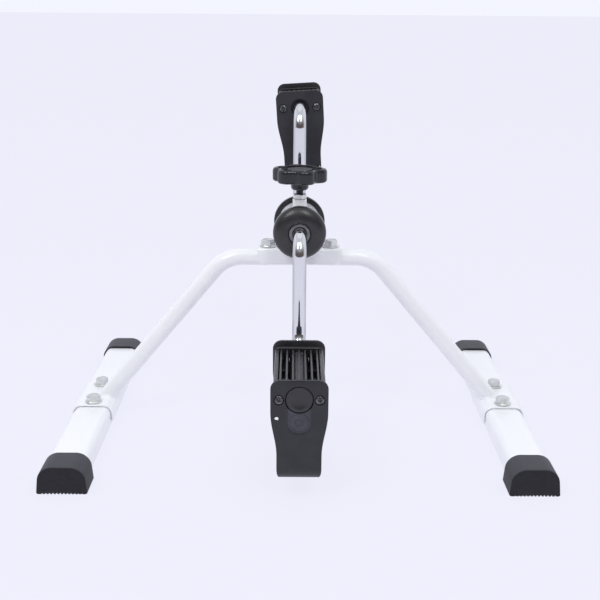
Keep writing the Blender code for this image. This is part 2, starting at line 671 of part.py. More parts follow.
def make_flange_bolts(finishes):
    """Six alike flange bolts with their nuts: two in the bracket, two in each saddle."""
    bolt = bolt_mesh()
    bar_nut = nut_mesh(HEX_ACROSS_FLATS, NUT_HEIGHT, BOLT_HOLE)
    tube_nut = nut_mesh(TUBE_NUT_FLATS, NUT_HEIGHT, BOLT_HOLE)
    deep_in_tube = sqrt((TUBE_BORE - GAP) ** 2 - (TUBE_NUT_FLATS / 2) ** 2) - GAP
    for side, word in ((-1, "left"), (1, "right")):
        place_bolt("bracket_" + word, bolt, tube_nut,
                   (side * BRACKET_BOLT_X, 0, BRACKET_TOP + GAP), ARCH_HEIGHT + deep_in_tube,
                   finishes)
        for y, end in ((-BASE_BOLT_Y, "near"), (BASE_BOLT_Y, "far")):
            place_bolt(f"{word}_saddle_{end}", bolt, bar_nut,
                       (side * BAR_CENTRE_X, y, SADDLE_TOP + GAP), BAR_TOP - BAR_WALL - GAP,
                       finishes)


# ---------------------------------------------------------------- tension knob and shoe
def knob_ring(inset, height, sides):
    """The knob's lobed outline, drawn in by some amount."""
    ring = []
    for i in range(sides):
        a = 2 * pi * i / sides
        dip = KNOB_SCALLOP * (0.5 - 0.5 * cos(KNOB_LOBES * a)) ** 1.6
        radius = KNOB_RADIUS - dip - inset
        ring.append((radius * cos(a), radius * sin(a), height))
    return ring


def make_knob(finishes):
    """The hand knob with its cap and screw, all turning on one vertical axis."""
    axis = empty("knob_axis", (0, 0, KNOB_BOTTOM), (0, 0, KNOB_LOBE_ANGLE))
    sides = 6 * KNOB_LOBES
    collar_low = -COLLAR_HEIGHT
    floor = KNOB_HEIGHT - KNOB_RECESS_DEPTH
    bore_top = floor - KNOB_WEB
    rings = [circle(SCREW_HOLE, bore_top, sides), circle(SCREW_HOLE, collar_low, sides),
             circle(COLLAR_RADIUS - COLLAR_CHAMFER, collar_low, sides),
             circle(COLLAR_RADIUS, collar_low + COLLAR_CHAMFER, sides),
             circle(COLLAR_RADIUS, 0.0, sides)]
    rings += [knob_ring(inset, height, sides) for inset, height in KNOB_FOOT]
    rings += [knob_ring(inset, KNOB_HEIGHT - down, sides) for inset, down in KNOB_BROW]
    rings += [circle(KNOB_RECESS_RADIUS, KNOB_HEIGHT, sides),
              circle(KNOB_RECESS_RADIUS, floor, sides)]
    bm = bmesh.new()
    loft(bm, rings)
    place("tension_knob", mesh_of("tension_knob", bm), finishes["black_plastic"], parent=axis)

    cap_edge = KNOB_RECESS_RADIUS - GAP
    cap_low = floor + GAP
    cap_top = cap_low + KNOB_CAP_THICKNESS
    cap_profile = [(cap_edge, cap_low), (cap_edge, cap_top - KNOB_CAP_EDGE),
                   (cap_edge - KNOB_CAP_EDGE, cap_top)]
    place("knob_cap", mesh_of("knob_cap", turned(cap_profile, 24)), finishes["black_plastic"],
          parent=axis)

    screw_top = bore_top - GAP
    screw_low = SHOE_TOP + GAP - KNOB_BOTTOM
    screw_profile = [(SCREW_RADIUS - BOLT_CHAMFER, screw_low),
                     (SCREW_RADIUS, screw_low + BOLT_CHAMFER), (SCREW_RADIUS, screw_top)]
    place("tension_screw", mesh_of("tension_screw", turned(screw_profile, 16)),
          finishes["zinc"], parent=axis)


def arc_points(radius, low, high, steps, centre_z):
    """Points on an arc in the XZ plane; angles are measured from +X."""
    angles = [low + (high - low) * k / steps for k in range(steps + 1)]
    return [(radius * cos(a), centre_z + radius * sin(a)) for a in angles]


def make_shoe(finishes):
    """The friction shoe over the crank rod, with its leather lining."""
    axis = empty("shoe_axis", (0, 0, LINING_CENTRE))
    low, high = pi / 2 - SHOE_SPREAD, pi / 2 + SHOE_SPREAD
    half = SHOE_LENGTH / 2
    lining = (arc_points(ROD_HOLE, low, high, 8, 0)
              + arc_points(LINING_OUTER, high, low, 8, 0))
    place("friction_lining", mesh_of("friction_lining", extrude_y(lining, -half, half)),
          finishes["leather"], parent=axis)
    radius = LINING_OUTER + GAP
    top = SHOE_TOP - LINING_CENTRE
    side_x = radius * cos(low)
    shoe = arc_points(radius, low, high, 8, 0) + [(-side_x, top), (side_x, top)]
    place("friction_shoe", mesh_of("friction_shoe", extrude_y(shoe, -half, half)),
          finishes["nylon"], parent=axis)


# ---------------------------------------------------------------- crank
def ring_mesh(name, start, width, thickness):
    """A flat ring round the rod, at some distance out along it."""
    profile = [(ROD_HOLE, start), (ROD_HOLE + width, start),
               (ROD_HOLE + width, start + thickness), (ROD_HOLE, start + thickness)]
    return mesh_of(name, turned(profile, 20, True))


def make_crank(finishes):
    """The bent crank rod with its hub rings and end push nuts; returns the crank's axis."""
    axis = empty("crank_axis", (0, 0, HUB_HEIGHT))
    corners = [(0, -ROD_END, -CRANK_THROW), (0, -ARM_Y, -CRANK_THROW), (0, -ARM_Y, 0),
               (0, ARM_Y, 0), (0, ARM_Y, CRANK_THROW), (0, ROD_END, CRANK_THROW)]
    path = bent_path(corners, ROD_BEND, BEND_STEPS)
    bm = bmesh.new()
    loft(bm, tube_rings(path, ROD_RADIUS, ROD_SIDES, (1, 0, 0)))
    place("crank_rod", mesh_of("crank_rod", bm), finishes["chrome"], parent=axis)

    ring = ring_mesh("hub_ring", CAP_FACE - CAP_RECESS_DEPTH + GAP, RING_WIDTH, RING_THICKNESS)
    nut = ring_mesh("push_nut", ROD_END - PUSH_NUT_INSET, PUSH_NUT_WIDTH, PUSH_NUT_THICKNESS)
    for word, sign in (("near", -1), ("far", 1)):
        turn = (-sign * pi / 2, 0, 0)
        place(word + "_hub_ring", ring, finishes["zinc"], rotation=turn, parent=axis)
        place(word + "_push_nut", nut, finishes["zinc"], (0, 0, sign * CRANK_THROW), turn, axis)
    return axis


# ---------------------------------------------------------------- pedals
def pedal_body_mesh_parts():
    """The pedal body's end plates, slats, cross ribs and screw bosses, as loose solids."""
    half = PEDAL_WIDTH / 2
    plates = bmesh.new()
    corners = [(-half, -END_PLATE_HALF_HEIGHT), (half, -END_PLATE_HALF_HEIGHT),
               (half, END_PLATE_HALF_HEIGHT), (-half, END_PLATE_HALF_HEIGHT)]
    outline = rounded(corners, [END_PLATE_CORNER] * 4, 3)
    for low in (PEDAL_INNER, PEDAL_OUTER - END_PLATE):
        loft(plates, [[(p.x, y, p.y) for p in outline] for y in (low, low + END_PLATE)])
    slats = bmesh.new()
    rail = half - RAIL_SET_IN
    bands = [(-rail, RAIL_WIDTH - rail), (rail - RAIL_WIDTH, rail)]
    for k in range(SLAT_COUNT):
        x = (k - (SLAT_COUNT - 1) / 2) * SLAT_PITCH
        bands.append((x - SLAT_THICKNESS / 2, x + SLAT_THICKNESS / 2))
    for x0, x1 in bands:
        box(slats, (x0, PEDAL_INNER + END_PLATE / 2, -SLAT_HALF_HEIGHT),
            (x1, PEDAL_OUTER - END_PLATE / 2, SLAT_HALF_HEIGHT))
    ribs = bmesh.new()
    for share in (1 / 3, 2 / 3):
        y = PEDAL_INNER + PEDAL_LENGTH * share
        reach = rail - RAIL_WIDTH / 2
        box(ribs, (-reach, y - RIB_THICKNESS / 2, RIB_SET_IN - SLAT_HALF_HEIGHT),
            (reach, y + RIB_THICKNESS / 2, SLAT_HALF_HEIGHT - RIB_SET_IN))
    bosses = bmesh.new()
    for x in (-STRAP_SCREW_X, STRAP_SCREW_X):
        for start, end in ((PEDAL_INNER + END_PLATE / 2, PEDAL_INNER + SCREW_BOSS_LENGTH),
                           (PEDAL_OUTER - SCREW_BOSS_LENGTH, PEDAL_OUTER - END_PLATE / 2)):
            rod_along(bosses, "y", SCREW_BOSS_RADIUS, start, end, (x, 0), SMALL_SIDES)
    return plates, slats, ribs, bosses


def make_pedal_body(name, axis, finishes):
    """The slatted tread that turns on the crank's end."""
    plates, slats, ribs, bosses = pedal_body_mesh_parts()
    body = place(name, mesh_of(name, plates), finishes["black_plastic"], parent=axis)
    tool(name + "_slats", slats, "UNION", body, axis)
    tool(name + "_ribs", ribs, "UNION", body, axis)
    tool(name + "_bosses", bosses, "UNION", body, axis)
    pocket_floor = SLEEVE_END + NUT_ROOM
    bore = bmesh.new()
    rod_along(bore, "y", SLEEVE_BORE, PEDAL_INNER - OVERCUT, PEDAL_OUTER + OVERCUT, (0, 0),
              ROD_SIDES)
    tool(name + "_bore", bore, "DIFFERENCE", body, axis)
    pocket = bmesh.new()
    rod_along(pocket, "y", POCKET_RADIUS, pocket_floor, PEDAL_OUTER + OVERCUT, (0, 0),
              ROD_SIDES + 4)
    tool(name + "_pocket", pocket, "DIFFERENCE", body, axis)
    holes = bmesh.new()
    depth = SCREW_LENGTH + SCREW_HOLE_ROOM
    for x in (-STRAP_SCREW_X, STRAP_SCREW_X):
        for start, end in ((PEDAL_INNER - OVERCUT, PEDAL_INNER + depth),
                           (PEDAL_OUTER - depth, PEDAL_OUTER + OVERCUT)):
            rod_along(holes, "y", SCREW_SHANK_RADIUS + GAP, start, end, (x, 0), 8)
    tool(name + "_screw_holes", holes, "DIFFERENCE", body, axis)


def strap_half_width(z):
    """Half of the strap's width at a height beside the pedal's axle."""
    if z >= -TAPER_TOP:
        width = STRAP_WIDTH
    elif z <= -TAPER_BOTTOM:
        width = STRAP_WAIST
    else:
        share = (z + TAPER_TOP) / (TAPER_TOP - TAPER_BOTTOM)
        width = STRAP_WIDTH + (STRAP_WAIST - STRAP_WIDTH) * (0.5 - 0.5 * cos(pi * share))
    above = z - (STRAP_RISE - STRAP_TOP_CORNER)
    drawn_in = 0.0
    if above > 0:
        drawn_in = STRAP_TOP_CORNER - sqrt(max(0.0, STRAP_TOP_CORNER ** 2 - above ** 2))
    return width / 2 - drawn_in


def strap_mesh():
    """The strap as a bent band: down the outer end, under the pedal and up the inner end."""
    outer_y = PEDAL_OUTER + GAP + STRAP_THICKNESS / 2
    inner_y = PEDAL_INNER - GAP - STRAP_THICKNESS / 2
    down = [STRAP_RISE - STRAP_TOP_CORNER * (1 - sin(radians(15 * k))) for k in range(6, -1, -1)]
    taper = [-TAPER_TOP - (TAPER_BOTTOM - TAPER_TOP) * k / 6 for k in range(7)]
    stations = [(outer_y, z, 0.0) for z in down + taper]
    for k in range(BEND_STEPS + 1):
        a = pi / 2 * k / BEND_STEPS
        stations.append((outer_y - STRAP_CORNER * (1 - cos(a)),
                         -STRAP_DROP + STRAP_CORNER * (1 - sin(a)), a))
    middle = (outer_y + inner_y) / 2
    mirrored = [(2 * middle - y, z, pi - a) for y, z, a in stations[::-1]]
    half = STRAP_THICKNESS / 2
    bm = bmesh.new()
    rings = []
    for y, z, a in stations + mirrored:
        width = strap_half_width(z)
        out_y, out_z = half * cos(a), -half * sin(a)
        rings.append([(-width, y + out_y, z + out_z), (width, y + out_y, z + out_z),
                      (width, y - out_y, z - out_z), (-width, y - out_y, z - out_z)])
    loft(bm, rings)
    return bm


def make_strap(name, axis, finishes):
    """The foot strap with its screw holes, cap window and rod hole."""
    strap = place(name, mesh_of(name, strap_mesh()), finishes["strap_plastic"], parent=axis)
    outside = PEDAL_OUTER + GAP + STRAP_THICKNESS
    inside = PEDAL_INNER - GAP - STRAP_THICKNESS
    holes = bmesh.new()
    rod_along(holes, "y", WINDOW_RADIUS, PEDAL_OUTER - OVERCUT, outside + OVERCUT, (0, 0), 24)
    rod_along(holes, "y", ROD_RADIUS + STRAP_ROD_CLEARANCE, inside - OVERCUT,
              PEDAL_INNER + OVERCUT, (0, 0), 20)
    rod_along(holes, "y", STRAP_HOLE_RADIUS, PEDAL_OUTER - OVERCUT, outside + OVERCUT,
              (STRAP_HOLE_X, -STRAP_HOLE_DROP), SMALL_SIDES)
    recesses = bmesh.new()
    for x in (-STRAP_SCREW_X, STRAP_SCREW_X):
        for start, end in ((inside - OVERCUT, inside + SCREW_RECESS_DEPTH),
                           (outside - SCREW_RECESS_DEPTH, outside + OVERCUT)):
            rod_along(recesses, "y", SCREW_RECESS_RADIUS, start, end, (x, 0), 16)
        for start, end in ((inside - OVERCUT, PEDAL_INNER + OVERCUT),
                           (PEDAL_OUTER - OVERCUT, outside + OVERCUT)):
            rod_along(holes, "y", SCREW_SHANK_RADIUS + GAP, start, end, (x, 0), 8)
    tool(name + "_recesses", recesses, "DIFFERENCE", strap, axis)
    tool(name + "_holes", holes, "DIFFERENCE", strap, axis)


def make_strap_screws(word, axis, finishes):
    """Two pan screws at each end of the pedal."""
    sides = SMALL_SIDES
    seat_out = PEDAL_OUTER + GAP + STRAP_THICKNESS - SCREW_RECESS_DEPTH + GAP
    seat_in = PEDAL_INNER - GAP - STRAP_THICKNESS + SCREW_RECESS_DEPTH - GAP
    profile = [(SCREW_SHANK_RADIUS, -SCREW_LENGTH), (SCREW_SHANK_RADIUS, 0.0),
               (SCREW_HEAD_RADIUS, 0.0), (SCREW_HEAD_RADIUS, SCREW_HEAD_HEIGHT - SCREW_CROWN),
               (SCREW_HEAD_RADIUS - SCREW_CROWN, SCREW_HEAD_HEIGHT)]
    screw = mesh_of("strap_screw", turned(profile, sides))
    for end, seat, turn in (("outer", seat_out, -pi / 2), ("inner", seat_in, pi / 2)):
        for number, x in ((1, -STRAP_SCREW_X), (2, STRAP_SCREW_X)):
            place(f"{word}_screw_{end}_{number}", screw, finishes["zinc"], (x, seat, 0),
                  (turn, 0, 0), axis)


def make_pedal(word, axis, finishes):
    """One pedal, whose axle runs along +Y of its axis empty."""
    make_pedal_body(word + "_pedal_body", axis, finishes)
    sleeve_start = PEDAL_INNER + SLEEVE_INSET
    profile = [(SLEEVE_RADIUS, sleeve_start), (SLEEVE_RADIUS, SLEEVE_END),
               (ROD_HOLE, SLEEVE_END), (ROD_HOLE, sleeve_start)]
    place(word + "_pedal_sleeve", mesh_of("pedal_sleeve", turned(profile, ROD_SIDES, True)),
          finishes["grey_plastic"], rotation=(-pi / 2, 0, 0), parent=axis)
    disc_low = PEDAL_OUTER + GAP
    disc_high = disc_low + DUST_CAP_THICKNESS
    skirt = POCKET_RADIUS - 2 * GAP
    skirt_low = ROD_END + CAP_ROOM
    profile = [(skirt - DUST_CAP_SKIRT, disc_low), (skirt - DUST_CAP_SKIRT, skirt_low),
               (skirt, skirt_low), (skirt, disc_low), (DUST_CAP_RADIUS, disc_low),
               (DUST_CAP_RADIUS, disc_high - DUST_CAP_EDGE),
               (DUST_CAP_RADIUS - DUST_CAP_EDGE, disc_high)]
    place(word + "_dust_cap", mesh_of("dust_cap", turned(profile, 24)),
          finishes["black_plastic"], rotation=(-pi / 2, 0, 0), parent=axis)
    make_strap(word + "_strap", axis, finishes)
    make_strap_screws(word, axis, finishes)


def make_pedals(crank, finishes):
    """The near pedal hangs below the hub, the far pedal stands above it."""
    near = empty("near_pedal_axis", (0, 0, -CRANK_THROW), (0, 0, pi), crank)
    far = empty("far_pedal_axis", (0, 0, CRANK_THROW), (0, -FAR_PEDAL_LEAN, 0), crank)
    make_pedal("near", near, finishes)
    make_pedal("far", far, finishes)


def main():
    clear_objects()
    finishes = make_finishes()
    make_base(finishes)
    make_saddles(finishes)
    make_arch(finishes)
    make_bracket(finishes)
    make_hub(finishes)
    make_flange_bolts(finishes)
    make_knob(finishes)
    make_shoe(finishes)
    crank = make_crank(finishes)
    make_pedals(crank, finishes)


main()
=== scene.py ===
# %% [markdown]
# # A pedal exerciser, piece by piece
#
# The object is a small floor machine: a white steel arch on two floor bars, a hub on top with a
# chromed crank through it, two slatted pedals with hanging straps, and a hand knob that sets how
# hard the crank turns. The imported CAD model fixes every size and every moving body. This script
# builds a finer looking piece over each CAD piece, and lets it ride on the same body.
#
# We load that frame first. Everything is in metres, X runs along the arch, Y along the crank's
# axle and Z is up. The side towards the camera, at negative Y, is called near.

from math import acos, atan2, cos, degrees, hypot, pi, radians, sin, sqrt, tan

import bmesh
import bpy
from mathutils import Matrix, Vector


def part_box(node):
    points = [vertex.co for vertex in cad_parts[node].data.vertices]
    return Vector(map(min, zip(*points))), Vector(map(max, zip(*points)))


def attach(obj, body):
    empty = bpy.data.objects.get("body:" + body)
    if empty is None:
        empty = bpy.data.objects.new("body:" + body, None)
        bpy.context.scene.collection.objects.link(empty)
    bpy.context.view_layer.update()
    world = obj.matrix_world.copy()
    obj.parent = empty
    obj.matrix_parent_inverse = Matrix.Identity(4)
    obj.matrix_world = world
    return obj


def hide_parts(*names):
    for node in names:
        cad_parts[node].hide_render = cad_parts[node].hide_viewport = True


LEFT_RIGHT = ((-1, "left"), (1, "right"))
NEAR_FAR = ((-1, "near"), (1, "far"))
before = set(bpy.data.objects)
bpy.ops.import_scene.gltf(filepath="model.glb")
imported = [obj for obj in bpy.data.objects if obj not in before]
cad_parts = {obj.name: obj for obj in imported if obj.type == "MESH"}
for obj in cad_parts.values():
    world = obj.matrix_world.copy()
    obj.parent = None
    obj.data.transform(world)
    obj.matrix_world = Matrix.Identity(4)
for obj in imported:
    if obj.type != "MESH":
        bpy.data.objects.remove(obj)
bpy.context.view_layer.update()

# %% [markdown]
# ## The camera
#
# A camera could be placed by eye, but then every later comparison would be a guess. Its place and
# its tilt are given as numbers here: above the hub, a bit more than a metre in front of it, and
# looking down about sixteen degrees. The lens is long, so the far bar ends don't shrink much. The
# camera's axes are built from its pitch, yaw and roll, in that order.

# %% Place the camera
CAMERA_AT = Vector((-0.0057, -1.0893, 0.4402))
CAMERA_PITCH = radians(15.735)
CAMERA_YAW = radians(0.36)
CAMERA_ROLL = radians(0.4385)
SENSOR = 36.0                # picture width on the sensor, in millimetres
LENS_SHARE = 1.7617          # focal length over picture width


def camera_axes(pitch, yaw, roll):
    """Right, up and forward directions of a camera that looks along +Y when not turned."""
    forward = Vector((sin(yaw) * cos(pitch), cos(yaw) * cos(pitch), -sin(pitch)))
    level = Vector((cos(yaw), -sin(yaw), 0.0))
    upright = level.cross(forward)
    right = level * cos(roll) + upright * sin(roll)
    up = upright * cos(roll) - level * sin(roll)
    return right, up, forward


def make_camera():
    """The scene's camera, with its lens."""
    lens = bpy.data.cameras.new("viewing_camera")
    lens.sensor_width = SENSOR
    lens.lens = SENSOR * LENS_SHARE
    lens.clip_start, lens.clip_end = 0.02, 200.0
    holder = bpy.data.objects.new("viewing_camera", lens)
    right, up, forward = camera_axes(CAMERA_PITCH, CAMERA_YAW, CAMERA_ROLL)
    turn = Matrix((right, up, -forward)).transposed().to_4x4()
    holder.matrix_world = Matrix.Translation(CAMERA_AT) @ turn
    bpy.context.scene.collection.objects.link(holder)
    bpy.context.scene.camera = holder
    return holder


camera = make_camera()
print("camera at", tuple(CAMERA_AT), "lens", round(camera.data.lens, 1), "mm")

# %% [markdown]
# ## Writing materials as sums
#
# A node material is easier to read as arithmetic than as a web of sockets. The class `Wire` holds
# one socket and turns `+`, `-` and `*` into Math nodes, also when the number stands on the left, as
# in `1 - mask`. Everything else comes from `Network.node`, which takes a node's type, its settings,
# and the values or links of its sockets. A `Finish` is a network with a Principled shader at its
# end; the room's background, much further down, is a plain network.

# %% A socket that can be calculated with
class Wire:
    """A shader socket; arithmetic on it adds Math nodes."""

    def __init__(self, network, socket):
        self.network = network
        self.socket = socket

    def maths(self, operation, first, second):
        settings = {"operation": operation}
        return self.network.node("ShaderNodeMath", settings, {0: first, 1: second})

    def __add__(self, other):
        return self.maths("ADD", self, other)

    def __radd__(self, other):
        return self.maths("ADD", other, self)

    def __sub__(self, other):
        return self.maths("SUBTRACT", self, other)

    def __rsub__(self, other):
        return self.maths("SUBTRACT", other, self)

    def __mul__(self, other):
        return self.maths("MULTIPLY", self, other)

    def __rmul__(self, other):
        return self.maths("MULTIPLY", other, self)


print("Wire knows + - *")


# %% Networks and finishes under construction
class Network:
    """The nodes of a material or a world."""

    def __init__(self, tree):
        self.nodes = tree.nodes
        self.links = tree.links

    def node(self, kind, settings, sockets, output=0):
        """Add a node, set it up, then give its sockets values or links; returns an output."""
        made = self.nodes.new(kind)
        for key, value in settings.items():
            setattr(made, key, value)
        for key, value in sockets.items():
            if isinstance(value, Wire):
                self.links.new(value.socket, made.inputs[key])
            else:
                made.inputs[key].default_value = value
        return Wire(self, made.outputs[output])

    def mix_shaders(self, share, first, second):
        """A blend of two shaders or backgrounds; share 0 gives the first."""
        return self.node("ShaderNodeMixShader", {}, {0: share, 1: first, 2: second})


class Finish(Network):
    """A material with one Principled shader. Constants go straight on the shader's sockets."""

    def __init__(self, name, constants):
        self.material = bpy.data.materials.new(name)
        self.material.use_nodes = True
        super().__init__(self.material.node_tree)
        self.shader = self.nodes["Principled BSDF"]
        for socket, value in constants.items():
            self.shader.inputs[socket].default_value = value

    def feed(self, socket, wire):
        """Link a result to one of the shader's sockets."""
        self.links.new(wire.socket, self.shader.inputs[socket])


print("Network and Finish ready")

# %% [markdown]
# ## Small words for materials
#
# The same few steps come back in every finish: a place on the piece, one of its coordinates, a
# noise, a soft step from 0 to 1, a blend of two colours and a bump. Each gets a short function.
# Places are read in the piece's own coordinates, so a pattern stays on its piece when the crank
# turns.

# %% Places, noises and soft steps
def place_on_piece(finish):
    """The point in the piece's own coordinates, in metres."""
    return finish.node("ShaderNodeTexCoord", {}, {}, output=3)


def axis_of(network, vector, axis):
    """One coordinate of a vector: 0, 1 or 2 for X, Y or Z."""
    return network.node("ShaderNodeSeparateXYZ", {}, {0: vector}, output=axis)


def noise(finish, vector, size, detail, roughness=0.5):
    """Cloudy noise between 0 and 1 whose lumps are about size metres wide."""
    sockets = {"Vector": vector, "Scale": 1.0 / size, "Detail": detail, "Roughness": roughness}
    return finish.node("ShaderNodeTexNoise", {}, sockets)


def soft_step(network, value, low, high):
    """Goes smoothly from 0 to 1 while value goes from low to high."""
    return network.node("ShaderNodeMapRange", {"interpolation_type": "SMOOTHSTEP"},
                        {"Value": value, "From Min": low, "From Max": high})


print("noise and soft_step ready")


# %% Colours, stretched places and bumps
def blend_colours(finish, share, first, second):
    """Mix two colours; share 0 gives the first. Colours are (r, g, b) or wires."""
    full = [c if isinstance(c, Wire) else (*c, 1.0) for c in (first, second)]
    settings = {"data_type": "RGBA", "blend_type": "MIX"}
    return finish.node("ShaderNodeMix", settings, {0: share, 6: full[0], 7: full[1]}, output=2)


def stretched(finish, vector, factors):
    """The same places with each axis scaled, to draw a pattern out into streaks."""
    return finish.node("ShaderNodeVectorMath", {"operation": "MULTIPLY"},
                       {0: vector, 1: factors})


def bump(finish, height, depth, strength):
    """Raise the surface by height times depth metres, in the shading only."""
    normal = finish.node("ShaderNodeBump", {}, {"Height": height, "Distance": depth,
                                                "Strength": strength})
    finish.feed("Normal", normal)


print("blend_colours, stretched and bump ready")

# %% [markdown]
# ## The finishes
#
# Powder coated steel, chrome, three kinds of zinc plate, and moulded plastic and rubber in several
# grains cover all that the eye meets.
#
# Powder coat is not smooth. It melts into low waves of about a millimetre, called orange peel, and
# it carries a trace of dust. It could be made with a displacement, but the waves are far too low to
# change the outline, so a bump is enough. A thin coat on the shader gives the wet shine on top.

# %% White powder coat
def make_powder_coat():
    """Bluish white paint with orange peel and a trace of dust."""
    paint = Finish("white_powder_coat", {"IOR": 1.5, "Coat Weight": 0.35,
                                         "Coat Roughness": 0.10})
    here = place_on_piece(paint)
    clouds = noise(paint, here, 0.045, 4.0)
    dust = noise(paint, here, 0.0022, 3.0, 0.7)
    specks = soft_step(paint, noise(paint, here, 0.0011, 1.0), 0.70, 0.76)
    tint = blend_colours(paint, clouds, (0.895, 0.915, 0.945), (0.925, 0.940, 0.965))
    dusty = blend_colours(paint, specks * 0.35, tint, (0.58, 0.58, 0.60))
    paint.feed("Base Color", dusty)
    paint.feed("Roughness", 0.24 + clouds * 0.12 + dust * 0.08)
    peel = noise(paint, here, 0.0016, 2.0)
    bump(paint, peel * 0.7 + dust * 0.3, 0.00005, 0.6)
    return paint.material


powder_coat = make_powder_coat()
print("made", powder_coat.name)

# %% [markdown]
# Chrome mirrors whatever surrounds it, so most of its look is the light round it. What belongs to
# the metal is a faint haze that differs from place to place, thin polishing lines across the rod and
# a few pits. The darker band along either side of the rod is painted shade: it stands in for the
# darker reflections at the rod's edges.
# Roughness carries the haze. The lines are noise that is drawn out across the rod.

# %% Chrome
def make_chrome():
    """Bright plate with polishing haze, hairlines, a few pits and painted shade along both sides."""
    chrome = Finish("bright_chrome", {"Metallic": 1.0})
    here = place_on_piece(chrome)
    haze = noise(chrome, here, 0.030, 3.0)
    lines = noise(chrome, stretched(chrome, here, (0.15, 1.0, 1.0)), 0.0005, 2.0, 0.7)
    pits = soft_step(chrome, noise(chrome, here, 0.0018, 1.0), 0.74, 0.78)
    tint = blend_colours(chrome, haze, (0.70, 0.71, 0.74), (0.78, 0.79, 0.81))
    # Painted shade: the base colour darkens towards both sides of the rod, along the piece's own X.
    off_middle = chrome.node("ShaderNodeMath", {"operation": "ABSOLUTE"},
                             {0: axis_of(chrome, here, 0)})
    painted_side_shade = soft_step(chrome, off_middle + haze * 0.002, 0.0050, 0.0082) * 0.6
    tint = blend_colours(chrome, painted_side_shade, tint, (0.34, 0.34, 0.36))
    chrome.feed("Base Color", blend_colours(chrome, pits * 0.6, tint, (0.35, 0.31, 0.28)))
    chrome.feed("Roughness", 0.035 + haze * 0.03 + lines * 0.025 + pits * 0.25)
    bump(chrome, lines * 0.5 - pits, 0.000004, 0.5)
    return chrome.material


chrome = make_chrome()
print("made", chrome.name)

# %% [markdown]
# The bolts are zinc plated. Zinc is a softer grey than chrome and cloudy from the plating bath.
# Cells of a Voronoi pattern would look like hot-dip spangle, which is wrong here, so it is made with
# cloudy noise at two sizes. It also makes the black plated screws, and the rings, whose dark grey is
# a painted dark reflection.

# %% Zinc plate
def make_zinc(name, dark, light):
    """Cloudy plated steel between two greys."""
    zinc = Finish(name, {"Metallic": 1.0})
    here = place_on_piece(zinc)
    clouds = noise(zinc, here, 0.006, 4.0, 0.6)
    grain = noise(zinc, here, 0.0005, 2.0, 0.6)
    zinc.feed("Base Color", blend_colours(zinc, soft_step(zinc, clouds, 0.3, 0.7), dark, light))
    zinc.feed("Roughness", 0.20 + clouds * 0.14 + grain * 0.10)
    bump(zinc, clouds * 0.5 + grain * 0.5, 0.000015, 0.6)
    return zinc.material


zinc_plate = make_zinc("zinc_plate", (0.60, 0.62, 0.61), (0.80, 0.81, 0.79))
# The rings' steel is painted dark: a painted dark reflection in the caps' recesses.
ring_steel_painted_dark = make_zinc("ring_steel_painted_dark", (0.13, 0.13, 0.14), (0.26, 0.26, 0.27))
black_zinc = make_zinc("black_zinc", (0.06, 0.06, 0.07), (0.20, 0.20, 0.21))
print("made", zinc_plate.name, ring_steel_painted_dark.name, black_zinc.name)

# %% [markdown]
# Moulded plastic takes the texture of its mould: a fine grain, a little glossier where it is
# handled. One function makes all the plastics of this object. It is given the colour, the size of
# the grain, how rough the surface is, and how much pale dust sits in it. On the feet and the treads
# the faces that look up are painted paler than the sides, as painted light from above; the surface's
# own normal tells which those are.

# %% Moulded plastics and rubber
def make_moulded(name, colour, dust_colour, grain_size, grain_depth, rough, dust_share,
                 specular=0.5, painted_top_light=None):
    """Moulded plastic or rubber with mould grain, handling shine and a little dust.

    The last argument, if given, is a paler colour painted on the faces that look up: painted light
    on the top faces.
    """
    stuff = Finish(name, {"Specular IOR Level": specular})
    here = place_on_piece(stuff)
    grain = noise(stuff, here, grain_size, 2.0, 0.6)
    wear = noise(stuff, here, 0.014, 4.0, 0.6)
    flecks = soft_step(stuff, noise(stuff, here, 0.0012, 2.0, 0.7), 0.56, 0.80)
    paled = tuple(c * 1.5 for c in colour)
    tint = blend_colours(stuff, soft_step(stuff, wear, 0.35, 0.70), colour, paled)
    # Painted light: faces whose normal points up get the paler colour, and the sides keep the darker
    # one.
    if painted_top_light:
        upward = axis_of(stuff, stuff.node("ShaderNodeTexCoord", {}, {}, output=1), 2)
        painted_top_mask = soft_step(stuff, upward + wear * 0.2, 0.20, 0.90)
        tint = blend_colours(stuff, painted_top_mask, tint, painted_top_light)
    stuff.feed("Base Color", blend_colours(stuff, flecks * dust_share, tint, dust_colour))
    stuff.feed("Roughness", rough + wear * 0.14 + flecks * 0.10 - 0.07)
    bump(stuff, grain * 0.8 + wear * 0.2, grain_depth, 0.7)
    return stuff.material


black_gloss = make_moulded("black_gloss_plastic", (0.020, 0.020, 0.023), (0.10, 0.10, 0.11),
                           0.0006, 0.000015, 0.30, 0.20)
knob_plastic = make_moulded("knob_plastic", (0.010, 0.010, 0.015), (0.12, 0.12, 0.13),
                            0.0007, 0.000020, 0.22, 0.18)
strap_plastic = make_moulded("strap_plastic", (0.014, 0.014, 0.019), (0.08, 0.08, 0.09),
                             0.0009, 0.000025, 0.42, 0.18)
# The paler grey is painted light on the treads' upward faces.
tread_plastic = make_moulded("tread_plastic", (0.014, 0.014, 0.017), (0.14, 0.14, 0.15),
                             0.0007, 0.000020, 0.32, 0.22, painted_top_light=(0.040, 0.040, 0.044))
sleeve_plastic = make_moulded("sleeve_plastic", (0.018, 0.017, 0.023), (0.12, 0.12, 0.13),
                              0.0008, 0.000020, 0.42, 0.25)
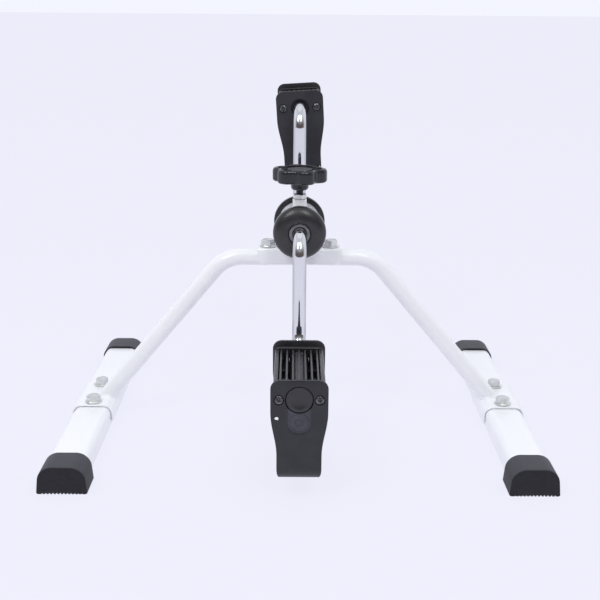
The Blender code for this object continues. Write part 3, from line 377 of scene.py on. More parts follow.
# The bluish paler grey is painted light on the feet's upward faces.
foot_rubber = make_moulded("foot_rubber", (0.009, 0.009, 0.013), (0.08, 0.08, 0.09),
                           0.0010, 0.000060, 0.55, 0.35, 0.35, painted_top_light=(0.050, 0.052, 0.062))
nylon = make_moulded("nylon", (0.55, 0.52, 0.45), (0.40, 0.38, 0.34), 0.0010, 0.000020, 0.42, 0.3)
leather = make_moulded("brake_leather", (0.20, 0.11, 0.055), (0.09, 0.05, 0.03), 0.0014,
                       0.000090, 0.75, 0.6)
print("made", [m.name for m in (black_gloss, strap_plastic, foot_rubber, nylon, leather)])

# %% [markdown]
# ## Building blocks for shapes
#
# Nearly everything here is a row of outlines skinned together: a tube is rings along a path, a cap
# is rings of growing radius, a floor bar is one outline moved along Y. `loft` does that. With
# `wrap` the last ring joins the first, which closes a hollow piece without end faces.

# %% Skin a row of rings
def loft(rings, wrap=False, into=None):
    """Skin rings of equal length; an open row gets end faces, a wrapped row joins its ends."""
    bm = into or bmesh.new()
    rows = [[bm.verts.new(point) for point in ring] for ring in rings]
    count = len(rows[0])
    pairs = list(zip(rows, rows[1:])) + ([(rows[-1], rows[0])] if wrap else [])
    for first, second in pairs:
        for i in range(count):
            j = (i + 1) % count
            bm.faces.new((first[i], first[j], second[j], second[i]))
    if not wrap:
        bm.faces.new(rows[0])
        bm.faces.new(rows[-1])
    return bm


def ring_of(radius, height, sides=96):
    """A circle of points round Z; radius may be a function of the angle."""
    size = radius if callable(radius) else (lambda angle: radius)
    lift = height if callable(height) else (lambda angle: height)
    angles = [2 * pi * i / sides for i in range(sides)]
    return [(size(a) * cos(a), size(a) * sin(a), lift(a)) for a in angles]


def turned(profile, sides, wrap=False):
    """A shape turned round Z from (radius, height) pairs."""
    return loft([ring_of(radius, height, sides) for radius, height in profile], wrap)


print("loft, ring_of and turned ready")

# %% [markdown]
# Real edges are never sharp, and the thin highlight along a rounded edge is what makes an object
# look solid. `soft_corners` rounds a flat outline, and `arc` gives the rounded corner of a turned
# profile. `Bevel` modifiers do the rest where an outline can't.

# %% Rounded outlines and corners
def soft_corners(corners, radii, steps):
    """A flat outline with each corner rounded by its own radius."""
    outline = []
    for i, corner in enumerate(corners):
        here = Vector(corner)
        if radii[i] <= 0:
            outline.append(here)
            continue
        before = (Vector(corners[i - 1]) - here).normalized()
        after = (Vector(corners[(i + 1) % len(corners)]) - here).normalized()
        half = acos(max(-1.0, min(1.0, before.dot(after)))) / 2
        centre = here + (before + after).normalized() * (radii[i] / sin(half))
        start = here + before * (radii[i] / tan(half)) - centre
        end = here + after * (radii[i] / tan(half)) - centre
        sweep = atan2(start.cross(end), start.dot(end))
        for k in range(steps + 1):
            a = sweep * k / steps
            outline.append(centre + Vector((start.x * cos(a) - start.y * sin(a),
                                            start.x * sin(a) + start.y * cos(a))))
    return outline


def arc(centre_r, centre_z, radius, start, end, steps):
    """Profile points on an arc; angles in degrees, 0 pointing outward and 90 up."""
    angles = [radians(start + (end - start) * k / steps) for k in range(steps + 1)]
    return [(centre_r + radius * cos(a), centre_z + radius * sin(a)) for a in angles]


def along_y(outline, y):
    """An (x, z) outline as a ring at some y."""
    return [(p[0], y, p[1]) for p in outline]


print("soft_corners, arc and along_y ready")

# %% [markdown]
# A finished mesh becomes a piece: it gets its finish, its place, the body that it rides on, and the
# CAD nodes that it stands for. `settle` turns modifiers into plain mesh, so nothing is left to
# compute later, `carve` cuts one shape out of another with an exact Boolean, and `copies_of` shows
# one mesh at several places.

# %% From mesh to piece
SMOOTH_BELOW = radians(32)


def shade(mesh):
    """Smooth shading, but sharp across real edges."""
    mesh.shade_smooth()
    mesh.set_sharp_from_angle(angle=SMOOTH_BELOW)


def shape(name, bm, finish, at=Matrix.Identity(4)):
    """An object from a bmesh, at its place in the frame."""
    bmesh.ops.recalc_face_normals(bm, faces=bm.faces)
    mesh = bpy.data.meshes.new(name)
    bm.to_mesh(mesh)
    bm.free()
    if finish:
        mesh.materials.append(finish)
    shade(mesh)
    made = bpy.data.objects.new(name, mesh)
    made.matrix_world = at
    bpy.context.scene.collection.objects.link(made)
    return made


def settle(thing):
    """Turn the modifiers of an object into plain mesh."""
    bpy.context.view_layer.update()
    graph = bpy.context.evaluated_depsgraph_get()
    done = bpy.data.meshes.new_from_object(thing.evaluated_get(graph), depsgraph=graph)
    thing.modifiers.clear()
    thing.data = done
    shade(done)
    return thing


print("shape and settle ready")


# %% Cutting, rounding and fitting into the frame
def carve(thing, bm, operation="DIFFERENCE"):
    """Cut a shape out of a piece, or join one to it. Both stand in the same coordinates."""
    other = shape(thing.name + "_tool", bm, None, thing.matrix_world.copy())
    step = thing.modifiers.new("carve", "BOOLEAN")
    step.operation, step.solver, step.object = operation, "EXACT", other
    settle(thing)
    bpy.data.objects.remove(other, do_unlink=True)
    return thing


def round_edges(thing, width, angle):
    """Round every edge that is sharper than an angle in degrees."""
    step = thing.modifiers.new("rounding", "BEVEL")
    step.width, step.segments, step.limit_method = width, 2, "ANGLE"
    step.angle_limit = radians(angle)
    step.use_clamp_overlap = True
    return settle(thing)


def fit(thing, body, *nodes, slot):
    """Let a piece ride on a body and stand for CAD nodes; the slot is not used."""
    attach(thing, body)
    if nodes:
        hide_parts(*nodes)


def copies_of(first, names_and_places):
    """The first object and more objects with the same mesh."""
    made = [first]
    for name, at in names_and_places:
        twin = bpy.data.objects.new(name, first.data)
        twin.matrix_world = at
        bpy.context.scene.collection.objects.link(twin)
        made.append(twin)
    return made


print("carve, round_edges, fit and copies_of ready")

# %% [markdown]
# ## Floor bars
#
# Each floor bar is a rolled steel tube with a flat bottom and a domed top, a D section. It could be
# a cube with two bevels, but lofting one outline outside and one inside gives the real wall of the
# tube as well. The outline is drawn in X and Z and moved along Y.

# %% Sizes of the floor bars
GAP = 0.0003                 # between pieces that are fitted together
TUBE_LOW, TUBE_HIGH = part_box("right_base_tube")
BAR_X = (TUBE_LOW.x + TUBE_HIGH.x) / 2
BAR_WIDTH = TUBE_HIGH.x - TUBE_LOW.x
BAR_LOW, BAR_TOP, BAR_END = TUBE_LOW.z, TUBE_HIGH.z, TUBE_HIGH.y
BAR_SHOULDER, BAR_TOE, BAR_WALL = 0.0080, 0.0020, 0.0015
SHOULDER_STEPS = 14


def bar_outline(grow, toe=BAR_TOE):
    """The D section, grown outward by some amount."""
    half, low, high = BAR_WIDTH / 2 + grow, BAR_LOW - grow, BAR_TOP + grow
    corners = [(-half, low), (half, low), (half, high), (-half, high)]
    shoulder = BAR_SHOULDER + grow
    return soft_corners(corners, [toe, toe, shoulder, shoulder], SHOULDER_STEPS)


print("bar centre", round(BAR_X, 4), "width", round(BAR_WIDTH, 4), "top", round(BAR_TOP, 4))

# %% Make both floor bars
for side, word in LEFT_RIGHT:
    outside, inside = bar_outline(0.0), bar_outline(-BAR_WALL, BAR_TOE / 2)
    rings = [along_y(outside, -BAR_END), along_y(outside, BAR_END), along_y(inside, BAR_END),
             along_y(inside, -BAR_END)]
    bar = shape(word + "_floor_bar", loft(rings, True), powder_coat,
                Matrix.Translation((side * BAR_X, 0, 0)))
    fit(bar, "frame", word + "_base_tube", slot="white_paint")
print("floor bars made")

# %% [markdown]
# ## Rubber feet
#
# A rubber cap closes each bar end and keeps the machine from sliding. Its sides lean inward, its
# top follows the bar with a thicker wall, its outer end is rounded, and its sole is cut into a row
# of small treads that show as teeth from the front. The treads are part of the outline, so they run
# the whole length of the foot, and the socket for the bar is carved afterwards.

# %% The foot's outline with its treads
FOOT_LOW, FOOT_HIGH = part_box("left_foot_far")
FOOT_HALF = (FOOT_HIGH.x - FOOT_LOW.x) / 2
FOOT_HEIGHT = FOOT_HIGH.z
FOOT_END, FOOT_START = FOOT_HIGH.y, FOOT_LOW.y
FOOT_CROWN = 0.02125         # half of the foot's width at the height of its top
FOOT_SHOULDER, FOOT_TOE = 0.0145, 0.0012
MOUTH_EASE, END_EASE = 0.0006, 0.0013
TREADS, TREAD_DEPTH, TREAD_MARGIN = 12, 0.0012, 0.0030


def foot_outline():
    """The foot's section: treads along the floor, leaning sides and round shoulders."""
    corners = [(-FOOT_HALF, 0), (FOOT_HALF, 0), (FOOT_CROWN, FOOT_HEIGHT),
               (-FOOT_CROWN, FOOT_HEIGHT)]
    steps = 12
    line = soft_corners(corners, [FOOT_TOE] * 2 + [FOOT_SHOULDER] * 2, steps)
    span = FOOT_HALF - TREAD_MARGIN
    pitch = 2 * span / TREADS
    sole = []
    for k in range(TREADS):
        x = -span + k * pitch
        sole += [(x + 0.10 * pitch, 0.0), (x + 0.22 * pitch, TREAD_DEPTH),
                 (x + 0.50 * pitch, TREAD_DEPTH), (x + 0.62 * pitch, 0.0)]
    return line[:steps + 1] + [Vector(p) for p in sole] + line[steps + 1:]


print("foot", round(2 * FOOT_HALF, 4), "wide,", TREADS, "treads")


# %% Make the four feet
def foot_ring(outline, y, inset):
    """The outline at some y, drawn in at its sides and top but not at the floor."""
    wide, tall = 1 - inset / FOOT_HALF, 1 - inset / FOOT_HEIGHT
    return [(p.x * wide, y, p.y * tall) for p in outline]


def make_foot(name):
    """A foot that is closed towards +Y."""
    outline = foot_outline()
    rings = [foot_ring(outline, FOOT_START, MOUTH_EASE),
             foot_ring(outline, FOOT_START + MOUTH_EASE, 0.0)]
    for k in range(7):
        a = pi / 2 * k / 6
        rings.append(foot_ring(outline, FOOT_END - END_EASE + END_EASE * sin(a),
                               END_EASE * (1 - cos(a))))
    foot = shape(name, loft(rings), foot_rubber)
    socket = bar_outline(GAP)
    return carve(foot, loft([along_y(socket, FOOT_START - 0.002),
                             along_y(socket, BAR_END + GAP)]))


feet = [(f"{word}_rubber_foot_{end}", f"{word}_foot_{end}",
         Matrix.Translation((side * BAR_X, 0, 0)) @ Matrix.Rotation(turn, 4, "Z"))
        for side, word in LEFT_RIGHT for end, turn in (("near", pi), ("far", 0.0))]
feet = feet[-1:] + feet[:-1]       # the far right foot is made and the others are its copies
made = copies_of(make_foot(feet[0][0]), [(name, place) for name, _, place in feet[1:]])
for foot, (_, node, place) in zip(made, feet):
    foot.matrix_world = place
    fit(foot, "frame", node, slot="foot_rubber")
print(len(made), "feet made,", len(made[0].data.polygons), "faces each")

# %% [markdown]
# ## Saddles
#
# At each end of the arch a bent steel sleeve, the saddle, lies over the floor bar and is bolted to
# it. Its section is an upside down U that follows the bar. At the sleeve's ends the inner edge is
# relieved, which leaves the thin grey line between sleeve and bar that a real pressed part shows.
# A solidified surface could do it, but rings with two different inner outlines give that relief.

# %% Make the two saddles
SADDLE_LOW, SADDLE_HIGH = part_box("right_saddle")
SADDLE_HALF = SADDLE_HIGH.y
SADDLE_WALL = SADDLE_HIGH.z - BAR_TOP - GAP
SADDLE_ENDS = ((0.0, 0.0004, 0.0004), (0.0004, 0.0, 0.0003), (0.0014, 0.0, 0.0))


def saddle_ring(y, outer_inset, relief):
    """The U section; outer_inset draws its outside in, relief opens its inside."""
    inner = BAR_WIDTH / 2 + GAP + relief
    outer = BAR_WIDTH / 2 + GAP + SADDLE_WALL - outer_inset
    roof, top = BAR_TOP + GAP + relief, SADDLE_HIGH.z - outer_inset
    low = SADDLE_LOW.z
    corners = [(-outer, low), (-outer, top), (outer, top), (outer, low), (inner, low),
               (inner, roof), (-inner, roof), (-inner, low)]
    small = BAR_SHOULDER + GAP + relief
    large = BAR_SHOULDER + GAP + SADDLE_WALL - outer_inset
    radii = [0, large, large, 0, 0, small, small, 0]
    return along_y(soft_corners(corners, radii, SHOULDER_STEPS), y)


for side, word in LEFT_RIGHT:
    rings = [saddle_ring(back - SADDLE_HALF, inset, relief) for back, inset, relief in SADDLE_ENDS]
    rings += [saddle_ring(SADDLE_HALF - back, inset, relief)
              for back, inset, relief in SADDLE_ENDS[::-1]]
    saddle = shape(word + "_bar_sleeve", loft(rings), powder_coat,
                   Matrix.Translation((side * BAR_X, 0, 0)))
    fit(saddle, "frame", word + "_saddle", slot="white_paint")
print("saddles made, wall", round(SADDLE_WALL * 1000, 2), "mm")

# %% [markdown]
# ## The arch
#
# The arch is one steel tube with two bends. A curve object with a round bevel would be quick, but
# its ends would be cut square. The real tube is coped: every long line of the tube is cut where it
# meets the saddle. So the tube is lofted from rings along its path, and the last ring's points are
# slid along the leg until each one touches the saddle's outline.

# %% The path of a bent tube
def bent_path(points, bend, steps):
    """Points and directions along a flat path whose corners are bent to one radius."""
    points = [Vector(p) for p in points]
    path = [(points[0], (points[1] - points[0]).normalized())]
    for before, here, after in zip(points, points[1:], points[2:]):
        run_in, run_out = (here - before).normalized(), (after - here).normalized()
        turn = run_in.angle(run_out)
        side = (run_out - run_in * run_in.dot(run_out)).normalized()
        start = here - run_in * (bend * tan(turn / 2))
        centre = start + side * bend
        for k in range(steps + 1):
            a = turn * k / steps
            point = centre - side * (bend * cos(a)) + run_in * (bend * sin(a))
            path.append((point, run_in * cos(a) + side * sin(a)))
    path.append((points[-1], (points[-1] - points[-2]).normalized()))
    return path


def tube_ring(point, direction, radius, sides, across):
    """A round ring square to a direction; across is square to the path's plane."""
    inward = Vector(across).cross(direction)
    angles = [2 * pi * i / sides for i in range(sides)]
    return [point + inward * (radius * cos(a)) + Vector(across) * (radius * sin(a))
            for a in angles]


print("bent_path and tube_ring ready")

# %% Slide a tube's end onto the saddle
ARCH_HEIGHT, ARCH_RADIUS, ARCH_WALL, ARCH_BEND = 0.1808, 0.0089, 0.0015, 0.040
ARCH_SHOULDER_X = 0.078      # where the level stretch and a leg would meet if they weren't bent
LEG_INSET = 0.0120           # from the bar's middle to the leg's landing point
LEG_SHORT = 0.016            # the last round ring is this far above the saddle
LONGEST_SLIDE, SLIDE_STEP, TOUCH = 0.045, 0.0002, 0.0001
LEG_FOOT = Vector((BAR_X - LEG_INSET, 0, SADDLE_HIGH.z))
LEG_TOP = Vector((ARCH_SHOULDER_X, 0, ARCH_HEIGHT))
LEG_RUN = (LEG_FOOT - LEG_TOP).normalized()


def inside_saddle(point):
    """True where a point lies within the right saddle's outer outline."""
    half = BAR_WIDTH / 2 + GAP + SADDLE_WALL + TOUCH
    top = SADDLE_HIGH.z + TOUCH
    bend = BAR_SHOULDER + GAP + SADDLE_WALL
    x, z = abs(point.x - BAR_X), point.z
    if x > half or z > top:
        return False
    if x > half - bend and z > top - bend:
        return hypot(x - half + bend, z - top + bend) <= bend
    return True


def slide_to_saddle(point):
    """Move a point down the leg until it touches the saddle."""
    run = 0.0
    while not inside_saddle(point + LEG_RUN * run) and run < LONGEST_SLIDE:
        run += SLIDE_STEP
    return point + LEG_RUN * (run - TOUCH)


print("leg leans", round(degrees(atan2(-LEG_RUN.z, LEG_RUN.x)), 1), "degrees")

# %% Make the arch
TUBE_SIDES = 72


def mirrored(point):
    """The same point on the other side of the machine."""
    return Vector((-point.x, point.y, point.z))


def arch_rings(radius):
    """All rings of the arch at one radius, its two ends coped to the saddles."""
    foot = LEG_FOOT - LEG_RUN * LEG_SHORT
    path = bent_path([mirrored(foot), mirrored(LEG_TOP), LEG_TOP, foot], ARCH_BEND, 16)
    rings = [tube_ring(p, d, radius, TUBE_SIDES, (0, 1, 0)) for p, d in path]
    first = [mirrored(slide_to_saddle(mirrored(p))) for p in rings[0]]
    last = [slide_to_saddle(p) for p in rings[-1]]
    return [first] + rings + [last]


outer_rings = arch_rings(ARCH_RADIUS)
inner_rings = arch_rings(ARCH_RADIUS - ARCH_WALL)
arch = shape("painted_arch", loft(outer_rings + inner_rings[::-1], True), powder_coat)
fit(arch, "frame", "arch_tube", slot="white_paint")
print("arch made,", len(arch.data.polygons), "faces")

# %% [markdown]
# ## Weld beads
#
# The arch is welded to its saddles, and the hub to its bracket. A weld is a string of small
# overlapping puddles, painted over with the rest. It is a thin ring swept along the seam, whose
# radius swells and shrinks once for every puddle. One function makes open and closed seams.

# %% Sweep a bead along a seam
BEAD_SIDES, RIPPLE = 12, 0.16
SLANTED = Vector((0.13, 0.29, 0.95))     # a direction that no seam runs in


def bead_along(points, radius, puddle, closed):
    """A rippled weld bead along a row of points."""
    rings, run = [], 0.0
    count = len(points)
    for i, point in enumerate(points):
        before = points[i - 1] if closed or i else point
        after = points[(i + 1) % count] if closed or i < count - 1 else point
        direction = (after - before).normalized()
        run += (point - before).length if i else 0.0
        swell = radius * (1.0 + RIPPLE * abs(sin(pi * run / puddle)))
        rings.append(tube_ring(point, direction, swell, BEAD_SIDES,
                               direction.cross(SLANTED).normalized()))
    return loft(rings, closed)


def finer(points, parts):
    """The same closed seam with more points on it."""
    return [a.lerp(b, k / parts) for a, b in zip(points, points[1:] + points[:1])
            for k in range(parts)]


print("bead_along ready")

# %% Weld the arch to its saddles
for word, seam in (("left", outer_rings[0]), ("right", outer_rings[-1])):
    bead = shape(word + "_leg_weld", bead_along(finer(seam, 3), 0.0011, 0.0016, True),
                 powder_coat)
    fit(bead, "frame", slot="white_paint")
print("leg welds made")

# %% [markdown]
# ## The bracket on top
#
# A short channel of bent sheet sits over the arch's level stretch and carries the hub in a shallow
# cradle. Its section is lofted along X. The two lower corners of each skirt are rounded by keeping
# only what lies within a rounded side view, and the cradle is carved with the hub's own cylinder.

# %% Make the bracket
HUB_LOW, HUB_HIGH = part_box("hub_shell")
HUB_Z = (HUB_LOW.z + HUB_HIGH.z) / 2
HUB_RADIUS = (HUB_HIGH.x - HUB_LOW.x) / 2
BRACKET_LOW, BRACKET_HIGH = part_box("hub_bracket")
BRACKET_TOP = BRACKET_HIGH.z
BEND_OUTSIDE, BEND_INSIDE, SKIRT_CORNER = 0.0030, 0.0012, 0.0055
THROUGH = 0.03               # half length of a tool that cuts right through


def hub_tool(grow, sides):
    """The hub's cylinder, grown a little, to carve what is fitted against the hub."""
    outline = [Vector((x, z + HUB_Z)) for x, z, _ in ring_of(HUB_RADIUS + grow, 0, sides)]
    return loft([along_y(outline, y) for y in (-THROUGH, THROUGH)])


def make_bracket():
    """The channel with rounded skirts and the hub's cradle."""
    inner, outer = ARCH_RADIUS + GAP, BRACKET_HIGH.y
    roof, low, half = ARCH_HEIGHT + inner, BRACKET_LOW.z, BRACKET_HIGH.x
    section = [(-outer, low), (-outer, BRACKET_TOP), (outer, BRACKET_TOP), (outer, low),
               (inner, low), (inner, roof), (-inner, roof), (-inner, low)]
    line = soft_corners(section, [0, BEND_OUTSIDE, BEND_OUTSIDE, 0,
                                  0, BEND_INSIDE, BEND_INSIDE, 0], 8)
    bm = loft([[(x, p.x, p.y) for p in line] for x in (-half, half)])
    bracket = shape("hub_channel", bm, powder_coat)
    side_view = soft_corners([(-half, low), (half, low), (half, BRACKET_TOP + 0.002),
                              (-half, BRACKET_TOP + 0.002)], [SKIRT_CORNER] * 2 + [0, 0], 10)
    carve(bracket, loft([along_y(side_view, y) for y in (-THROUGH, THROUGH)]), "INTERSECT")
    carve(bracket, hub_tool(GAP, 128))
    return round_edges(bracket, 0.00035, 40)


bracket = make_bracket()
fit(bracket, "frame", "hub_bracket", slot="white_paint")
print("bracket made,", len(bracket.data.polygons), "faces")

# %% [markdown]
# ## The hub
#
# The hub is a white steel tube that lies across the bracket. A threaded boss is welded on its top
# for the tension screw. Both are turned shapes; the boss is then carved with the hub's cylinder so
# that its foot follows the round shell, and two weld beads run along the cradle.

# %% Make the hub shell and its boss
HUB_HALF, HUB_WALL = HUB_HIGH.y, 0.0020
BOSS_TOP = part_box("tension_boss")[1].z
BOSS_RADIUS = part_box("tension_boss")[1].x
SCREW_HOLE = 0.0043
HUB_TURN = Matrix.Translation((0, 0, HUB_Z)) @ Matrix.Rotation(pi / 2, 4, "X")


def make_hub_shell():
    """The hub's tube with eased rims and the hole under its boss."""
    r, bore, half, rim, lip = HUB_RADIUS, HUB_RADIUS - HUB_WALL, HUB_HALF, 0.0004, 0.0003
    profile = [(r - rim, -half), (r, rim - half), (r, half - rim), (r - rim, half),
               (bore + lip, half), (bore, half - lip), (bore, lip - half), (bore + lip, -half)]
    shell = shape("hub_tube", turned(profile, 128, True), powder_coat, HUB_TURN)
    hole = loft([[(p[0], h, p[1]) for p in ring_of(SCREW_HOLE, 0, 48)] for h in (0.012, 0.03)])
    return carve(shell, hole)


def make_boss():
    """The threaded boss with a chamfered top and a foot that fits the shell."""
    r, low, high = BOSS_RADIUS, HUB_HIGH.z - 0.004, BOSS_TOP
    profile = [(r, low), (r, high - 0.0007), (r - 0.0002, high - 0.0003), (r - 0.0007, high),
               (SCREW_HOLE + 0.0005, high), (SCREW_HOLE, high - 0.0005), (SCREW_HOLE, low)]
    boss = shape("screw_boss", turned(profile, 72, True), powder_coat)
    return carve(boss, hub_tool(TOUCH, 256))


fit(make_hub_shell(), "frame", "hub_shell", slot="white_paint")
fit(make_boss(), "frame", "tension_boss", slot="white_paint")
print("hub and boss made")

# %% Weld the boss and the cradle
def on_shell(x):
    """The shell's height at some distance from its middle."""
    return HUB_Z + sqrt(HUB_RADIUS ** 2 - x ** 2)


seam = [Vector((x, y, on_shell(x))) for x, y, _ in ring_of(BOSS_RADIUS, 0)]
fit(shape("boss_weld", bead_along(seam, 0.0008, 0.0013, True), powder_coat), "frame",
    slot="white_paint")
CRADLE_SEAM = 0.0210
cradle_x = sqrt(HUB_RADIUS ** 2 - (HUB_Z - BRACKET_TOP) ** 2) + 0.0002
for side, word in LEFT_RIGHT:
    row = [Vector((side * cradle_x, y * CRADLE_SEAM / 60, BRACKET_TOP + GAP))
           for y in range(-30, 31)]
    fit(shape(word + "_cradle_weld", bead_along(row, 0.0009, 0.0015, False), powder_coat),
        "frame", slot="white_paint")
print("hub welds made")

# %% [markdown]
# ## End caps of the hub
#
# A satin black moulded cap closes each end of the hub. Seen from the end it is a dome with a round
# recess, and in the recess a steel ring runs round the rod and turns with it. Caps are turned from
# one profile: a straight side, a quarter of an ellipse for the dome, a small rolled lip, the recess
# and the hollow inside that leaves room for the rod.

# %% Make the caps and rings
CAP_LOW, CAP_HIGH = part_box("far_hub_cap")
CAP_RADIUS, CAP_FACE = CAP_HIGH.x, CAP_HIGH.y
CAP_BACK, CAP_SIDE = HUB_HALF + GAP, 0.0050
ROD_RADIUS = 0.0070
ROD_HOLE = ROD_RADIUS + GAP
RING_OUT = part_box("far_hub_ring")[1].x
RECESS_RADIUS, RECESS_DEPTH = RING_OUT + GAP, 0.0022
RIM_WIDTH, ROD_ROOM, RING_TALL = 0.0017, 0.0008, 0.0014


def cap_profile():
    """The cap's section as (radius, distance from the hub's middle)."""
    rim, base = RECESS_RADIUS + RIM_WIDTH, CAP_BACK + CAP_SIDE
    wide, tall = CAP_RADIUS - rim, CAP_FACE - base
    dome = [(rim + wide * cos(radians(a)), base + tall * sin(radians(a)))
            for a in range(5, 90, 5)]
    lip = [(rim, CAP_FACE), (RECESS_RADIUS + 0.0007, CAP_FACE - 0.0001),
           (RECESS_RADIUS + 0.0002, CAP_FACE - 0.0004), (RECESS_RADIUS, CAP_FACE - 0.0009)]
    floor, spigot = CAP_FACE - RECESS_DEPTH, HUB_RADIUS - HUB_WALL - GAP
    back = [(CAP_RADIUS - 0.0006, CAP_BACK), (CAP_RADIUS, CAP_BACK + 0.0006), (CAP_RADIUS, base)]
    inside = [(RECESS_RADIUS, floor), (ROD_RADIUS + ROD_ROOM, floor),
              (ROD_RADIUS + ROD_ROOM, floor - 0.0025), (spigot - 0.0025, CAP_BACK + 0.0005),
              (spigot - 0.0025, CAP_LOW.y), (spigot, CAP_LOW.y), (spigot, CAP_BACK)]
    return back + dome + lip + inside


def ring_profile():
    """The steel ring's section, its outer edge rounded."""
    low = CAP_FACE - RECESS_DEPTH + GAP
    high = low + RING_TALL
    return [(ROD_HOLE, low), (RING_OUT, low), (RING_OUT, high - 0.0006),
            (RING_OUT - 0.0004, high - 0.0001), (RING_OUT - 0.0010, high),
            (ROD_HOLE + 0.0004, high), (ROD_HOLE, high - 0.0004)]


for side, word in NEAR_FAR:
    place = Matrix.Translation((0, 0, HUB_Z)) @ Matrix.Rotation(-side * pi / 2, 4, "X")
    cap = shape(word + "_domed_cap", turned(cap_profile(), 128, True), black_gloss, place)
    fit(cap, "frame", word + "_hub_cap", slot="black_plastic")
    # The ring's dark grey is a painted dark reflection.
    ring = shape(word + "_bright_ring", turned(ring_profile(), 96, True), ring_steel_painted_dark, place)
    fit(ring, "crank", word + "_hub_ring", slot="zinc")
print("caps and rings made, cap radius", round(CAP_RADIUS, 4))

# %% [markdown]
# ## Bolts and nuts
#
# A flange bolt has a hexagon head whose upper corners are turned off by a thirty degree chamfer,
# and a washer-like flange below. The curved scallops that the chamfer leaves on each flat could be
# had from a Boolean with a cone. Here they come from one formula: the height of the head's upper
# edge drops as the hexagon's corner sticks out beyond the turned circle.

# %% The hexagon's radius and its chamfered edge
CHAMFER_SLOPE = tan(radians(30))
BORE_EASE = 0.0004


def hexagon(flats):
    """A function that gives a hexagon's radius at an angle."""
    def radius(angle):
        fold = (angle + pi / 6) % (pi / 3) - pi / 6
        return flats / 2 / cos(fold)
    return radius


def chamfered(flats, level, drop):
    """The height of a hexagon's edge where a cone turns its corners off."""
    reach = hexagon(flats)
    start = flats / 2 * 0.985
    return lambda angle: level + drop * max(0.0, reach(angle) - start)


def nut_rings(flats, low, high, bore):
    """Rings of a nut with both faces chamfered and an eased bore."""
    small, reach = flats / 2 * 0.93, hexagon(flats)
    return [ring_of(bore + BORE_EASE, low), ring_of(small, low),
            ring_of(reach, chamfered(flats, low + 0.0002, CHAMFER_SLOPE)),
            ring_of(reach, chamfered(flats, high - 0.0002, -CHAMFER_SLOPE)),
            ring_of(small, high), ring_of(bore + BORE_EASE, high),
            ring_of(bore, high - BORE_EASE), ring_of(bore, low + BORE_EASE)]


print("hexagon, chamfered and nut_rings ready")

# %% Make the flange bolts
BOLT_LOW, BOLT_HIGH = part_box("bracket_left_bolt")
BOLT_SEAT = BRACKET_TOP + GAP
BOLT_TALL = BOLT_HIGH.z - BOLT_SEAT
FLANGE_RADIUS = (BOLT_HIGH.x - BOLT_LOW.x) / 2
HEX_FLATS, SHANK_RADIUS, SHANK_LONG = 0.0130, 0.0039, 0.0150
CONE_TOP = 0.0016            # where the flange's cone meets the hexagon


def make_bolt_mesh():
    """A flange bolt that stands on z = 0, its shank below."""
    top, half, reach = BOLT_TALL, HEX_FLATS / 2, hexagon(HEX_FLATS)
    shape_of_bolt = [(SHANK_RADIUS - 0.0006, -SHANK_LONG), (SHANK_RADIUS, 0.0010 - SHANK_LONG),
                     (SHANK_RADIUS, 0.0), (FLANGE_RADIUS - 0.0002, 0.0), (FLANGE_RADIUS, 0.0002),
                     (FLANGE_RADIUS, 0.0007), (FLANGE_RADIUS - 0.0003, 0.0009),
                     (half * 1.17, CONE_TOP), (reach, CONE_TOP + 0.0002),
                     (reach, chamfered(HEX_FLATS, top - 0.0003, -CHAMFER_SLOPE)),
                     (half * 0.90, top), (half * 0.80, top), (half * 0.74, top - 0.0003),
                     (0.001, top - 0.0003)]
    return turned(shape_of_bolt, 96)


BRACKET_BOLT_X, SADDLE_BOLT_Y = 0.0330, 0.0265
seats = [("bracket_left", (-BRACKET_BOLT_X, 0, BOLT_SEAT), 0.35),
         ("bracket_right", (BRACKET_BOLT_X, 0, BOLT_SEAT), 0.10)]
seats += [(f"{word}_saddle_{end}",
           (side * BAR_X, way * SADDLE_BOLT_Y, SADDLE_HIGH.z + GAP), (0.7 + 0.2 * way) * side)
          for side, word in LEFT_RIGHT for way, end in NEAR_FAR]
places = [(name + "_flange_bolt", Matrix.Translation(at) @ Matrix.Rotation(turn, 4, "Z"))
          for name, at, turn in seats]
bolts = copies_of(shape(places[0][0], make_bolt_mesh(), zinc_plate, places[0][1]), places[1:])
for (name, _, _), bolt in zip(seats, bolts):
    fit(bolt, "frame", name + "_bolt", slot="zinc")
print(len(bolts), "bolts made, flange", round(2000 * FLANGE_RADIUS, 1), "mm")

# %% Make the lock nut on the boss
NUT_LOW, NUT_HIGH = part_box("tension_lock_nut")
lock_nut = shape("boss_lock_nut", loft(nut_rings(HEX_FLATS, NUT_LOW.z, NUT_HIGH.z, SCREW_HOLE),
                                       True), zinc_plate, Matrix.Rotation(0.25, 4, "Z"))
fit(lock_nut, "frame", "tension_lock_nut", slot="zinc")
print("lock nut from", round(NUT_LOW.z, 4), "to", round(NUT_HIGH.z, 4))

# %% [markdown]
# ## The crank
#
# One chromed rod is both cranks and both axles: out through the near pedal, up, through the hub, up
# again and out through the far pedal, with four bends. It is lofted like the arch. Its two ends are
# chamfered. It rides on the crank's body, so it turns with the pedals when the crank turns.

# %% Make the crank rod
SLEEVE_LOW, SLEEVE_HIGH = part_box("near_pedal_sleeve")
THROW = HUB_Z - (SLEEVE_LOW.z + SLEEVE_HIGH.z) / 2
ROD_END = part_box("crank_rod")[1].y
ROD_BEND, ROD_SIDES, ROD_EASE = 0.0200, 64, 0.0008
ARM_Y = CAP_FACE + 0.0023 + ROD_BEND     # the bend starts a little outside the cap


